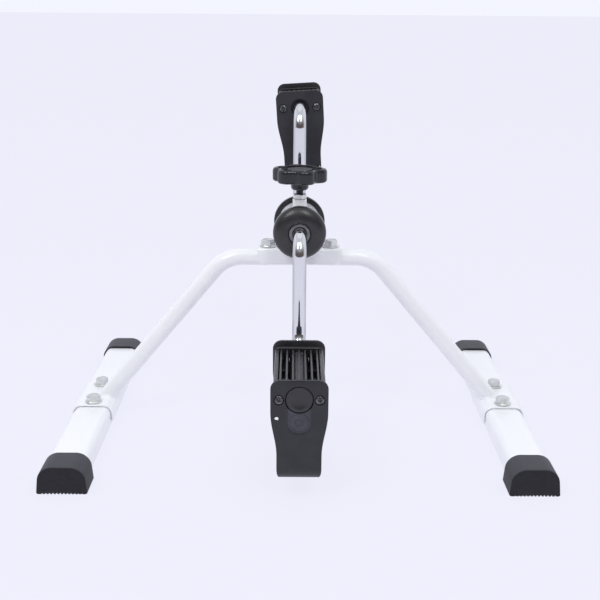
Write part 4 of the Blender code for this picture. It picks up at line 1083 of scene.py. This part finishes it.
def make_rod():
    """The bent rod with chamfered ends."""
    corners = [(0, -ROD_END, -THROW), (0, -ARM_Y, -THROW), (0, -ARM_Y, 0), (0, ARM_Y, 0),
               (0, ARM_Y, THROW), (0, ROD_END, THROW)]
    path = bent_path(corners, ROD_BEND, 24)
    start, first_run = path[0]
    end, last_run = path[-1]
    small = ROD_RADIUS - ROD_EASE
    stations = [(start, first_run, small), (start + first_run * ROD_EASE, first_run, ROD_RADIUS)]
    stations += [(point, run, ROD_RADIUS) for point, run in path[1:-1]]
    stations += [(end - last_run * ROD_EASE, last_run, ROD_RADIUS), (end, last_run, small)]
    rings = [tube_ring(point, run, r, ROD_SIDES, (1, 0, 0)) for point, run, r in stations]
    return shape("chromed_rod", loft(rings), chrome, Matrix.Translation((0, 0, HUB_Z)))


fit(make_rod(), "crank", "crank_rod", slot="chrome")
print("rod made, throw", round(THROW, 4))

# %% [markdown]
# ## The hand knob
#
# The knob is a turned form whose outline is not round: six lobes with scallops between them. So each
# ring of the loft may have a radius that depends on the angle. The scallops are a cosine raised to
# a power, which makes the lobes broad and the dips narrow. Upper and lower edges are well rounded,
# and a collar with a tapered foot carries the thread.

# %% The knob's lobes
KNOB_LOW, KNOB_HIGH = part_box("tension_knob")
COLLAR_HEIGHT, COLLAR_RADIUS = 0.0084, 0.0092
KNOB_FOOT = KNOB_LOW.z + COLLAR_HEIGHT
KNOB_TALL = KNOB_HIGH.z - KNOB_FOOT
KNOB_RADIUS, SCALLOP = 0.0286, 0.0052
KNOB_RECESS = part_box("knob_cap")[1].x + GAP
FOOT_ROUND, BROW_ROUND, RECESS_FLOOR = 0.0026, 0.0040, 0.0030
LOBES, LOBE_POWER, KNOB_SIDES = 6, 1.6, 180
KNOB_PLACE = Matrix.Translation((0, 0, KNOB_FOOT)) @ Matrix.Rotation(radians(-13.0), 4, "Z")


def lobed(inset):
    """The lobed radius, drawn in by some amount."""
    return lambda a: (KNOB_RADIUS - inset
                      - SCALLOP * (0.5 - 0.5 * cos(LOBES * a)) ** LOBE_POWER)


def knob_profile():
    """The knob from its bore, round its collar, lobes and rim, into its recess."""
    collar, low, top, recess = COLLAR_RADIUS, -COLLAR_HEIGHT, KNOB_TALL, KNOB_RECESS
    rings = [(SCREW_HOLE, top - 0.0046), (SCREW_HOLE, low + 0.0010),
             (SCREW_HOLE + 0.0008, low + 0.0001), (collar - 0.0016, low),
             (collar - 0.0010, low + 0.0004), (collar - 0.0003, low + 0.0016),
             (collar, low + 0.0022), (collar, -0.0012), (collar + 0.0003, -0.0005),
             (collar + 0.0010, -0.0001)]
    for k in range(8):
        a = pi / 2 * k / 7
        rings.append((lobed(FOOT_ROUND * (1 - sin(a))), FOOT_ROUND * (1 - cos(a))))
    for k in range(11):
        a = pi / 2 * k / 10
        rings.append((lobed(BROW_ROUND * 0.72 * (1 - cos(a))), top - BROW_ROUND * (1 - sin(a))))
    return rings + [(recess + 0.0006, top), (recess + 0.0002, top - 0.0002),
                    (recess, top - 0.0006), (recess, top - RECESS_FLOOR)]


knob = shape("six_lobe_knob", turned(knob_profile(), KNOB_SIDES), knob_plastic, KNOB_PLACE)
fit(knob, "tension_knob", "tension_knob", slot="black_plastic")
print("knob made,", len(knob.data.polygons), "faces")

# %% [markdown]
# A disc fills the knob's recess. Its rim is smooth and black; its middle is a slightly lighter grey,
# spark-eroded to a rough texture. The relief could be a bump map, but seen at this low angle a real
# relief reads better, so the middle is a fine grid of rings whose points are lifted by a mix of
# sines, a cheap and repeatable kind of noise.

# %% The disc in the knob
disc_plastic = make_moulded("disc_plastic", (0.050, 0.050, 0.054), (0.26, 0.26, 0.27),
                            0.0009, 0.000060, 0.50, 0.55)


def rough_height(x, y):
    """Small irregular lumps, from -1 to 1."""
    return (sin(x * 5200 + 2.0 * sin(y * 3100)) + sin(y * 6100 + 1.7 * sin(x * 2700))
            + sin((x + y) * 4300 + 0.6)) / 3


DISC_LOW, DISC_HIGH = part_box("knob_cap")
DISC_EDGE, DISC_TALL = DISC_HIGH.x, DISC_HIGH.z - DISC_LOW.z
DISC_PLACE = KNOB_PLACE @ Matrix.Translation((0, 0, DISC_LOW.z - KNOB_FOOT))
TEXTURED, LUMP, DISC_RINGS = 0.0128, 0.00016, 44


def make_rim():
    """The smooth black ring round the textured middle."""
    edge = DISC_EDGE
    profile = [(TEXTURED, 0.0), (edge, 0.0), (edge, DISC_TALL * 0.6)]
    profile += arc(edge - 0.0008, DISC_TALL - 0.0008, 0.0008, 30, 90, 4)
    profile += [(TEXTURED + 0.0003, DISC_TALL), (TEXTURED, DISC_TALL - 0.0003)]
    return shape("knob_disc_rim", turned(profile, 144, True), knob_plastic, DISC_PLACE)


def make_texture():
    """The lighter middle, as rings of lifted points."""
    edge, top = TEXTURED - 0.0002, DISC_TALL - 0.0002
    rings = [ring_of(edge, 0.0, 200)]
    for k in range(DISC_RINGS):
        row = ring_of(edge * (1 - k / DISC_RINGS) + 0.0001, 0, 200)
        rings.append([(x, y, top + LUMP * rough_height(x, y)) for x, y, _ in row])
    return shape("knob_disc_texture", loft(rings), disc_plastic, DISC_PLACE)


fit(make_rim(), "tension_knob", "knob_cap", slot="black_plastic")
fit(make_texture(), "tension_knob", slot="black_plastic")
print("knob disc made")

# %% [markdown]
# The tension screw is an M8 with a pitch of 1.25 mm. Its thread is one loft too: at every height the
# radius follows the distance to the thread's crest, which climbs with the angle. Ten rings for each
# turn are enough for the little zigzag that shows between lock nut and collar. The screw's tip is
# turned to a cone, which limits the thread's radius there.

# %% Cut the tension screw's thread
SCREW_LOW, SCREW_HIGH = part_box("tension_screw")
SCREW_RADIUS, THREAD_PITCH, THREAD_DEPTH = (SCREW_HIGH.x - SCREW_LOW.x) / 2, 0.00125, 0.00062
TIP_CONE, FLANK = 0.0010, 2.6


def thread_radius(z, limit):
    """The thread's radius at a height, as a function of the angle."""
    def radius(a):
        phase = (z / THREAD_PITCH - a / (2 * pi)) % 1.0
        crest = min(1.0, FLANK * abs(phase - 0.5))
        return min(limit, SCREW_RADIUS - THREAD_DEPTH * (1 - crest))
    return radius


tall = SCREW_HIGH.z - SCREW_LOW.z
count = int(tall / THREAD_PITCH * 10)
heights = [tall * k / count for k in range(count + 1)]
rows = [ring_of(thread_radius(z, SCREW_RADIUS - TIP_CONE + z), z, 48) for z in heights]
screw = shape("threaded_screw", loft(rows), black_zinc, Matrix.Translation((0, 0, SCREW_LOW.z)))
fit(screw, "tension_knob", "tension_screw", slot="zinc")
print("screw made with", round(tall / THREAD_PITCH, 1), "turns")

# %% [markdown]
# ## Pedals
#
# Both pedals are the same parts, so each mesh is made once and shown twice. A pedal's own Y axis is
# its axle, pointing away from the hub. The near pedal's frame is turned half round, and the far
# pedal leans a little.
#
# The body is one moulding: two end plates, two side rails, seven thin slats between them, two cross
# ribs and four bosses for the screws. Each is a simple loft with rounded edges and they are joined
# with exact Booleans; the bore for the sleeve and the pocket for the cap are then cut out.

# %% Sizes of a pedal
BODY_LOW, BODY_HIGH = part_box("near_pedal_body")
PEDAL_INNER, PEDAL_OUTER = -BODY_HIGH.y, -BODY_LOW.y
PEDAL_HALF = BODY_HIGH.x
PLATE_HALF = (BODY_HIGH.z - BODY_LOW.z) / 2
SLEEVE_RADIUS = (SLEEVE_HIGH.x - SLEEVE_LOW.x) / 2
SLEEVE_BORE, END_PLATE = SLEEVE_RADIUS + GAP, 0.0050
SLAT_HALF = SLEEVE_BORE + 0.0014
CAP_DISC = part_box("near_dust_cap")[1].x
POCKET, WINDOW = CAP_DISC - 0.0016, CAP_DISC + 0.0004
SCREW_X = abs(sum(corner.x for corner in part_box("near_screw_outer_2"))) / 2
RAIL_WIDE, SLAT_THIN, SLAT_PITCH, SLATS = 0.0042, 0.0010, 0.0058, 7     # SLAT_THIN is half a slat
SCREW_BOSS, PILOT_HOLE, SCREW_CLEARANCE = 0.0044, 0.0022, 0.0022
BEYOND = 0.002               # how far a cutting tool reaches past what it cuts
LEAN = radians(-3.5)
PEDALS = (("near", Matrix.Translation((0, 0, HUB_Z - THROW)) @ Matrix.Rotation(pi, 4, "Z")),
          ("far", Matrix.Translation((0, 0, HUB_Z + THROW)) @ Matrix.Rotation(LEAN, 4, "Y")))
print("pedal from", round(PEDAL_INNER, 4), "to", round(PEDAL_OUTER, 4), "screws at",
      round(SCREW_X, 4))


# %% Rounded bars and rods along Y
def beam(x0, x1, z0, z1, y0, y1, corner, into, steps=4):
    """Add a bar along Y with rounded long edges."""
    outline = soft_corners([(x0, z0), (x1, z0), (x1, z1), (x0, z1)], [corner] * 4, steps)
    loft([along_y(outline, y) for y in (y0, y1)], into=into)


def rod_y(radius, y0, y1, x=0.0, z=0.0, sides=64, into=None):
    """A round bar along Y."""
    outline = [Vector((x + p[0], z + p[1])) for p in ring_of(radius, 0, sides)]
    return loft([along_y(outline, y) for y in (y0, y1)], into=into)


print("beam and rod_y ready")

# %% Make the pedal body
PLATE_EASE, PLATE_CORNER = 0.0005, 0.0040


def plate_ring(y, inset):
    """An end plate's outline, drawn in by some amount."""
    half, tall = PEDAL_HALF - inset, PLATE_HALF - inset
    corners = [(-half, -tall), (half, -tall), (half, tall), (-half, tall)]
    return along_y(soft_corners(corners, [PLATE_CORNER - inset] * 4, 8), y)


def pedal_plates():
    """Two end plates with rounded corners and eased outer edges."""
    bm = bmesh.new()
    for low in (PEDAL_INNER, PEDAL_OUTER - END_PLATE):
        high = low + END_PLATE
        loft([plate_ring(low, PLATE_EASE), plate_ring(low + PLATE_EASE, 0),
              plate_ring(high - PLATE_EASE, 0), plate_ring(high, PLATE_EASE)], into=bm)
    return bm


def pedal_slats():
    """Side rails and slats along the pedal."""
    bm = bmesh.new()
    y0, y1 = PEDAL_INNER + END_PLATE / 2, PEDAL_OUTER - END_PLATE / 2
    rail = PEDAL_HALF - 0.0001
    for x in (-rail, rail - RAIL_WIDE):
        beam(x, x + RAIL_WIDE, -SLAT_HALF, SLAT_HALF, y0, y1, 0.0009, bm)
    for k in range(SLATS):
        x = (k - SLATS // 2) * SLAT_PITCH
        beam(x - SLAT_THIN, x + SLAT_THIN, -SLAT_HALF, SLAT_HALF, y0, y1, 0.0006, bm)
    return bm


def pedal_ribs():
    """Two ribs across the slats, well below their tops."""
    bm = bmesh.new()
    reach, thin = 0.0216, 0.0010
    for share in (1 / 3, 2 / 3):
        y = PEDAL_INNER + (PEDAL_OUTER - PEDAL_INNER) * share
        beam(-reach, reach, -SLAT_HALF * 0.6, SLAT_HALF * 0.05, y - thin, y + thin, 0.0004, bm, 2)
    return bm


def screw_rods(radius, start, end, sides):
    """A rod at each of the four screw places, from start to end inside the pedal's end faces."""
    bm = bmesh.new()
    for x in (-SCREW_X, SCREW_X):
        rod_y(radius, PEDAL_INNER + start, PEDAL_INNER + end, x, 0, sides, bm)
        rod_y(radius, PEDAL_OUTER - end, PEDAL_OUTER - start, x, 0, sides, bm)
    return bm


def make_pedal_body():
    """The whole moulding, in the pedal's own frame."""
    body = shape("near_pedal_moulding", pedal_plates(), tread_plastic)
    for part in (pedal_slats(), pedal_ribs(), screw_rods(SCREW_BOSS, 0.001, 0.0120, 40)):
        carve(body, part, "UNION")
    carve(body, rod_y(SLEEVE_BORE, PEDAL_INNER - BEYOND, PEDAL_OUTER + BEYOND))
    carve(body, rod_y(POCKET, ROD_END - 0.0042, PEDAL_OUTER + BEYOND))
    return carve(body, screw_rods(PILOT_HOLE, -BEYOND, 0.0103, 40))


def show_on_both(first, word, node, slot):
    """Put a piece made for the near pedal on both pedals, for near_node and far_node."""
    pair = copies_of(first, [("far_" + word, Matrix.Identity(4))])
    for (end, place), thing in zip(PEDALS, pair):
        thing.matrix_world = place
        fit(thing, end + "_pedal", f"{end}_{node}", slot=slot)


body = make_pedal_body()
show_on_both(body, "pedal_moulding", "pedal_body", "black_plastic")
print("pedal body made,", len(body.data.polygons), "faces")

# %% [markdown]
# A dark grey sleeve lines the pedal's bore and shows between the slats. It has a few grooves near
# its inner end. A smooth black cap covers the rod's end. Both are turned round the axle, so they
# are laid down with a quarter turn that points their Z along the pedal's Y.

# %% Make the sleeve and the dust cap
def laid(bm):
    """A turned shape laid along the pedal's axle."""
    bm.transform(Matrix.Rotation(-pi / 2, 4, "X"))
    return bm


def sleeve_profile():
    """The sleeve with three grooves near its inner end."""
    start, end, r = PEDAL_INNER + 0.0008, ROD_END - 0.0046, SLEEVE_RADIUS
    outside = [(r - 0.0004, start), (r, start + 0.0004)]
    for groove in (0.0075, 0.0100, 0.0125):
        low, floor = start + groove, r - 0.0007
        outside += [(r, low - 0.0004), (floor, low), (floor, low + 0.0008), (r, low + 0.0012)]
    return outside + [(r, end), (ROD_HOLE, end), (ROD_HOLE, start)]


def axle_cap_profile():
    """The cap: a skirt in the body's pocket and a disc with a rounded edge and a low middle."""
    low, skirt, wall, edge = PEDAL_OUTER + GAP, POCKET - 2 * GAP, 0.0014, 0.0011
    high, deep = low + 0.0020, ROD_END + 0.0008
    profile = [(skirt - wall, low), (skirt - wall, deep), (skirt, deep), (skirt, low),
               (CAP_DISC, low), (CAP_DISC, high - edge)]
    profile += arc(CAP_DISC - edge, high - edge, edge, 15, 90, 5)
    return profile + [(0.0085, high), (0.0080, high - 0.0003), (0.0005, high - 0.0003)]


sleeve = shape("near_axle_sleeve", laid(turned(sleeve_profile(), 96, True)), sleeve_plastic)
show_on_both(sleeve, "axle_sleeve", "pedal_sleeve", "grey_plastic")
cap = shape("near_axle_cap", laid(turned(axle_cap_profile(), 96)), black_gloss)
show_on_both(cap, "axle_cap", "dust_cap", "black_plastic")
print("sleeve and axle cap made")

# %% [markdown]
# ## Straps
#
# A strap is one soft plastic band. It is screwed on the pedal's outer end, hangs down, passes under
# the pedal in a wide loop and comes up to the inner end. It is broad at the screws and narrower
# below, with rounded upper corners. A solidified curve would bend well but has square edges, so the
# band is lofted: at each station along its line it gets a flat section with rounded rims.
#
# Then come the cuts: a window for the axle cap, a hole for the rod, recesses for the screw heads, a
# small through hole beside the tongue, and the tongue itself, a shallow recess with two rings in it.

# %% The strap's line and width
STRAP_THICK, STRAP_RISE, STRAP_DROP, STRAP_CORNER = 0.0030, 0.0185, 0.0775, 0.0110
STRAP_HALF, STRAP_NARROWS, DRAWN_IN = 0.0260, 0.0055, 0.0030
TAPER_TOP, TAPER_LONG, TOP_CORNER, STRAP_RIM = 0.0120, 0.0420, 0.0085, 0.0008
STRAP_OUT = PEDAL_OUTER + GAP + STRAP_THICK
STRAP_IN = PEDAL_INNER - GAP - STRAP_THICK


def strap_half(z):
    """Half of the strap's width at a height beside the axle."""
    share = min(1.0, max(0.0, (-z - TAPER_TOP) / TAPER_LONG))
    half = STRAP_HALF - STRAP_NARROWS * (0.5 - 0.5 * cos(pi * share))
    above = z - (STRAP_RISE - TOP_CORNER)
    if above > 0:
        half -= TOP_CORNER - sqrt(max(0.0, TOP_CORNER ** 2 - above ** 2))
    return half


def strap_stations():
    """Points (y, z, lean) down the outer end, round under the pedal and up the inner end."""
    outer, inner = STRAP_OUT - STRAP_THICK / 2, STRAP_IN + STRAP_THICK / 2
    heights = [STRAP_RISE - TOP_CORNER * (1 - sin(radians(6 * k))) for k in range(15, -1, -1)]
    heights += [-TAPER_TOP * k / 3 for k in range(4)]
    heights += [-TAPER_TOP - TAPER_LONG * k / 18 for k in range(1, 19)]
    heights += [-0.0595, -0.0645]
    row = [(outer, z, 0.0) for z in heights]
    for k in range(15):
        a = pi / 2 * k / 14
        row.append((outer - STRAP_CORNER * (1 - cos(a)),
                    -STRAP_DROP + STRAP_CORNER * (1 - sin(a)), a))
    row.append((outer - 0.030, -STRAP_DROP, pi / 2))
    return row + [(outer + inner - y, z, pi - a) for y, z, a in row[::-1]]


def strap_ring(y, z, lean):
    """The band's section at one station, with rounded rims; it is drawn in under the pedal."""
    half, thin = strap_half(z) - DRAWN_IN * (1 - abs(cos(lean))), STRAP_THICK / 2
    outline = soft_corners([(-half, thin), (half, thin), (half, -thin), (-half, -thin)],
                           [STRAP_RIM] * 4, 5)
    return [(p.x, y + p.y * cos(lean), z - p.y * sin(lean)) for p in outline]


print("strap has", len(strap_stations()), "stations")


# %% Holes and recesses of the strap
SMALL_HOLE, SMALL_HOLE_X, SMALL_HOLE_Z = 0.0020, 0.0203, -0.0180
HEAD_RECESS, HEAD_DEPTH = 0.0048, 0.0016
ROD_WINDOW = ROD_RADIUS + 0.0028
OUTER_CUT = (PEDAL_OUTER - 0.001, STRAP_OUT + BEYOND)      # from y to y, right through the band
INNER_CUT = (STRAP_IN - BEYOND, PEDAL_INNER + 0.001)


def strap_cuts():
    """Window, rod hole, small hole and screw holes as loose rods."""
    bm = rod_y(WINDOW, *OUTER_CUT, sides=96)
    rod_y(ROD_WINDOW, *INNER_CUT, sides=72, into=bm)
    rod_y(SMALL_HOLE, *OUTER_CUT, SMALL_HOLE_X, SMALL_HOLE_Z, 32, bm)
    for x in (-SCREW_X, SCREW_X):
        rod_y(SCREW_CLEARANCE, *INNER_CUT, x, 0, 24, bm)
        rod_y(SCREW_CLEARANCE, *OUTER_CUT, x, 0, 24, bm)
    return bm


def strap_recesses():
    """Shallow round recesses for the four screw heads."""
    bm = bmesh.new()
    for x in (-SCREW_X, SCREW_X):
        rod_y(HEAD_RECESS, STRAP_IN - BEYOND, STRAP_IN + HEAD_DEPTH, x, 0, 48, bm)
        rod_y(HEAD_RECESS, STRAP_OUT - HEAD_DEPTH, STRAP_OUT + BEYOND, x, 0, 48, bm)
    return bm


print("strap's holes ready")

# %% The strap's tongue
TONGUE_DEPTH, TONGUE_HALF, TONGUE_MIDDLE, TONGUE_TOP = 0.0009, 0.0108, -0.0220, -0.0085
TONGUE_FLOOR = STRAP_OUT - TONGUE_DEPTH


def tongue_cut():
    """The tongue's recess: straight sides down from the window and a round bottom."""
    outline = [(-TONGUE_HALF, TONGUE_TOP), (TONGUE_HALF, TONGUE_TOP)]
    outline += arc(0, TONGUE_MIDDLE, TONGUE_HALF, 0, -180, 32)
    return loft([along_y(outline, y) for y in (TONGUE_FLOOR, STRAP_OUT + BEYOND)])


def tongue_ring(radius):
    """A low raised ring on the tongue's floor, round its middle."""
    width, tall = 0.0005, 0.0004
    low, high, crown = TONGUE_FLOOR - GAP, TONGUE_FLOOR + tall, width * 0.55
    bm = laid(turned([(radius - width, low), (radius - crown, high), (radius + crown, high),
                      (radius + width, low)], 64, True))
    bmesh.ops.translate(bm, verts=bm.verts, vec=(0, 0, TONGUE_MIDDLE))
    return bm


def on_tongue(face):
    """True for a face that lies on the tongue's floor or on its rings."""
    x, y, z = face.center
    inside = abs(x) < TONGUE_HALF + 0.0001 and TONGUE_MIDDLE - 0.0115 < z < -0.008
    return inside and -0.0001 < y - TONGUE_FLOOR < 0.0006


print("tongue ready")

# %% Make the straps
tongue_plastic = make_moulded("tongue_plastic", (0.034, 0.035, 0.048), (0.15, 0.15, 0.17),
                              0.0012, 0.000040, 0.34, 0.35)


def make_strap():
    """The strap in its pedal's frame, its tongue in a paler plastic."""
    rings = [strap_ring(*station) for station in strap_stations()]
    strap = shape("near_foot_strap", loft(rings), strap_plastic)
    for part in (strap_recesses(), strap_cuts(), tongue_cut()):
        carve(strap, part)
    round_edges(strap, 0.0003, 50)
    for radius in (0.0032, 0.0087):
        carve(strap, tongue_ring(radius), "UNION")
    strap.data.materials.append(tongue_plastic)
    for face in strap.data.polygons:
        face.material_index = int(on_tongue(face))
    return strap


strap = make_strap()
show_on_both(strap, "foot_strap", "strap", "strap_plastic")
print("strap made,", len(strap.data.polygons), "faces")

# %% [markdown]
# The straps are held by pan screws with a cross recess, black zinc plated. The head is a turned
# ellipse; the cross is cut with two thin wedges that get narrower downward.

# %% Make the strap screws
HEAD_RADIUS, HEAD_TALL, CORE_RADIUS = 0.0040, 0.0021, 0.0019


def make_screw():
    """A pan head screw that stands on z = 0."""
    profile = [(0.0006, -0.0095), (CORE_RADIUS, -0.0075), (CORE_RADIUS, 0.0),
               (HEAD_RADIUS - 0.0002, 0.0), (HEAD_RADIUS, 0.0002), (HEAD_RADIUS, HEAD_TALL * 0.40)]
    profile += [(HEAD_RADIUS * (0.30 + 0.70 * cos(radians(a))),
                 HEAD_TALL * (0.40 + 0.60 * sin(radians(a)))) for a in range(12, 90, 11)]
    profile.append((HEAD_RADIUS * 0.30, HEAD_TALL))
    screw = shape("near_pan_screw_outer_1", turned(profile, 48), black_zinc)
    for turn in (0, pi / 2):
        wedge = loft([[(-reach, -wide, z), (reach, -wide, z), (reach, wide, z), (-reach, wide, z)]
                      for reach, wide, z in ((0.0010, 0.00030, HEAD_TALL - 0.0016),
                                             (0.0025, 0.00060, HEAD_TALL + 0.0008))])
        wedge.transform(Matrix.Rotation(turn, 4, "Z"))
        carve(screw, wedge)
    return screw


places = []
for word, pedal in PEDALS:
    for end, seat, turn in (("outer", STRAP_OUT - HEAD_DEPTH + GAP, -pi / 2),
                            ("inner", STRAP_IN + HEAD_DEPTH - GAP, pi / 2)):
        for number, x in ((1, -SCREW_X), (2, SCREW_X)):
            turned_in = Matrix.Rotation(turn, 4, "X") @ Matrix.Rotation(0.5 + 1.1 * number, 4, "Z")
            places.append((word, f"{end}_{number}",
                           pedal @ Matrix.Translation((x, seat, 0)) @ turned_in))
screws = copies_of(make_screw(), [(f"{word}_pan_screw_{which}", at)
                                  for word, which, at in places[1:]])
for (word, which, at), thing in zip(places, screws):
    thing.matrix_world = at
    fit(thing, word + "_pedal", f"{word}_screw_{which}", slot="zinc")
print(len(screws), "strap screws made")

# %% [markdown]
# ## What stays from the CAD model
#
# Nuts, bushings, the friction shoe and its lining sit inside and need no finer shape. They keep
# their CAD mesh and only get a real finish, in case the object is opened or seen from below.

# %% Finishes for the inner parts
hidden = {"nut": zinc_plate, "bushing": nylon, "friction_shoe": nylon, "lining": leather}
kept = [(n, o) for n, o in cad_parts.items() if not o.hide_render]
for name, thing in kept:
    finish = next(m for word, m in hidden.items() if word in name)
    thing.data.materials.clear()
    thing.data.materials.append(finish)
print("CAD parts kept:", [name for name, _ in kept])

# %% [markdown]
# ## Floor, light and surroundings
#
# The object stands in a pale, slightly bluish studio sweep. A wide floor is enough: far away it
# meets a background of the same colour. Most of the floor's brightness is its own, through a mix
# of emission and diffuse, so that the shadows on it stay as faint as in a lit studio cove.

# %% Make the floor
def make_floor_finish():
    """Bluish white paper that glows a little."""
    paper = Finish("studio_floor", {"Base Color": (0.45, 0.45, 0.50, 1), "Roughness": 0.9,
                                    "Specular IOR Level": 0.0})
    glow = paper.node("ShaderNodeEmission", {}, {"Color": (0.885, 0.885, 1.0, 1), "Strength": 1.06})
    mixed = paper.mix_shaders(0.85, Wire(paper, paper.shader.outputs[0]), glow)
    paper.links.new(mixed.socket, paper.nodes["Material Output"].inputs[0])
    return paper.material


def make_floor():
    """A wide flat floor."""
    half = 40.0
    bm = bmesh.new()
    bm.faces.new([bm.verts.new(p) for p in ((-half, -half, 0), (half, -half, 0),
                                            (half, half, 0), (-half, half, 0))])
    floor = shape("studio_floor", bm, make_floor_finish())


make_floor()
print("floor made")

# %% [markdown]
# Chrome and gloss show their surroundings, so those are designed too. Behind the camera the room is
# darker, which gives the bends of the crank their dark ends, and behind the object it is bright,
# which lightens every surface seen at a flat angle. The ceiling is a little dimmer than the walls,
# so that level faces don't outshine the rest. Three backgrounds are mixed by direction. Two oval
# soft boxes stand left and right of the camera, and a large weak one hangs above.

# %% Make the surroundings
def background(room, colour, strength):
    """An even background of one colour."""
    return room.node("ShaderNodeBackground", {}, {0: (*colour, 1), 1: strength})


def make_world():
    """A bright studio with a dimmer ceiling and a darker zone behind the camera."""
    world = bpy.data.worlds.new("studio")
    world.use_nodes = True
    room = Network(world.node_tree)
    room.nodes.clear()
    direction = room.node("ShaderNodeTexCoord", {}, {})
    height = axis_of(room, direction, 2)
    walls = background(room, (0.86, 0.87, 0.95), 1.05)
    ceiling = background(room, (0.68, 0.70, 0.74), 1.0)
    dark = background(room, (0.13, 0.11, 0.105), 1.0)
    bright = room.mix_shaders(soft_step(room, height, 0.40, 0.95), walls, ceiling)
    behind = soft_step(room, axis_of(room, direction, 1), 0.25, -0.60)
    low_enough = soft_step(room, height, 0.85, 0.20)
    surroundings = room.mix_shaders(behind * low_enough, bright, dark)
    room.links.new(surroundings.socket, room.nodes.new("ShaderNodeOutputWorld").inputs[0])
    bpy.context.scene.world = world


make_world()
print("world made")


# %% Set up the lights
AIM = Vector((0.0, 0.0, 0.16))


def soft_box(name, at, wide, tall, power, colour):
    """An oval area light aimed at the middle of the object."""
    lamp = bpy.data.lights.new(name, "AREA")
    lamp.shape, lamp.size, lamp.size_y = "ELLIPSE", wide, tall
    lamp.energy, lamp.color = power, colour
    holder = bpy.data.objects.new(name, lamp)
    aim = (AIM - Vector(at)).to_track_quat("-Z", "Y")
    holder.matrix_world = Matrix.Translation(at) @ aim.to_matrix().to_4x4()
    bpy.context.scene.collection.objects.link(holder)


soft_box("left_soft_box", (-0.80, -1.1, 1.6), 0.45, 1.0, 10, (1.0, 0.98, 0.97))
soft_box("right_soft_box", (0.45, -1.1, 1.6), 0.45, 1.0, 7, (1.0, 0.98, 0.97))
soft_box("top_soft_box", (0.0, 0.5, 2.4), 2.2, 1.6, 2, (0.97, 0.98, 1.0))
bpy.context.scene.view_settings.view_transform = "Standard"
print("lights set")
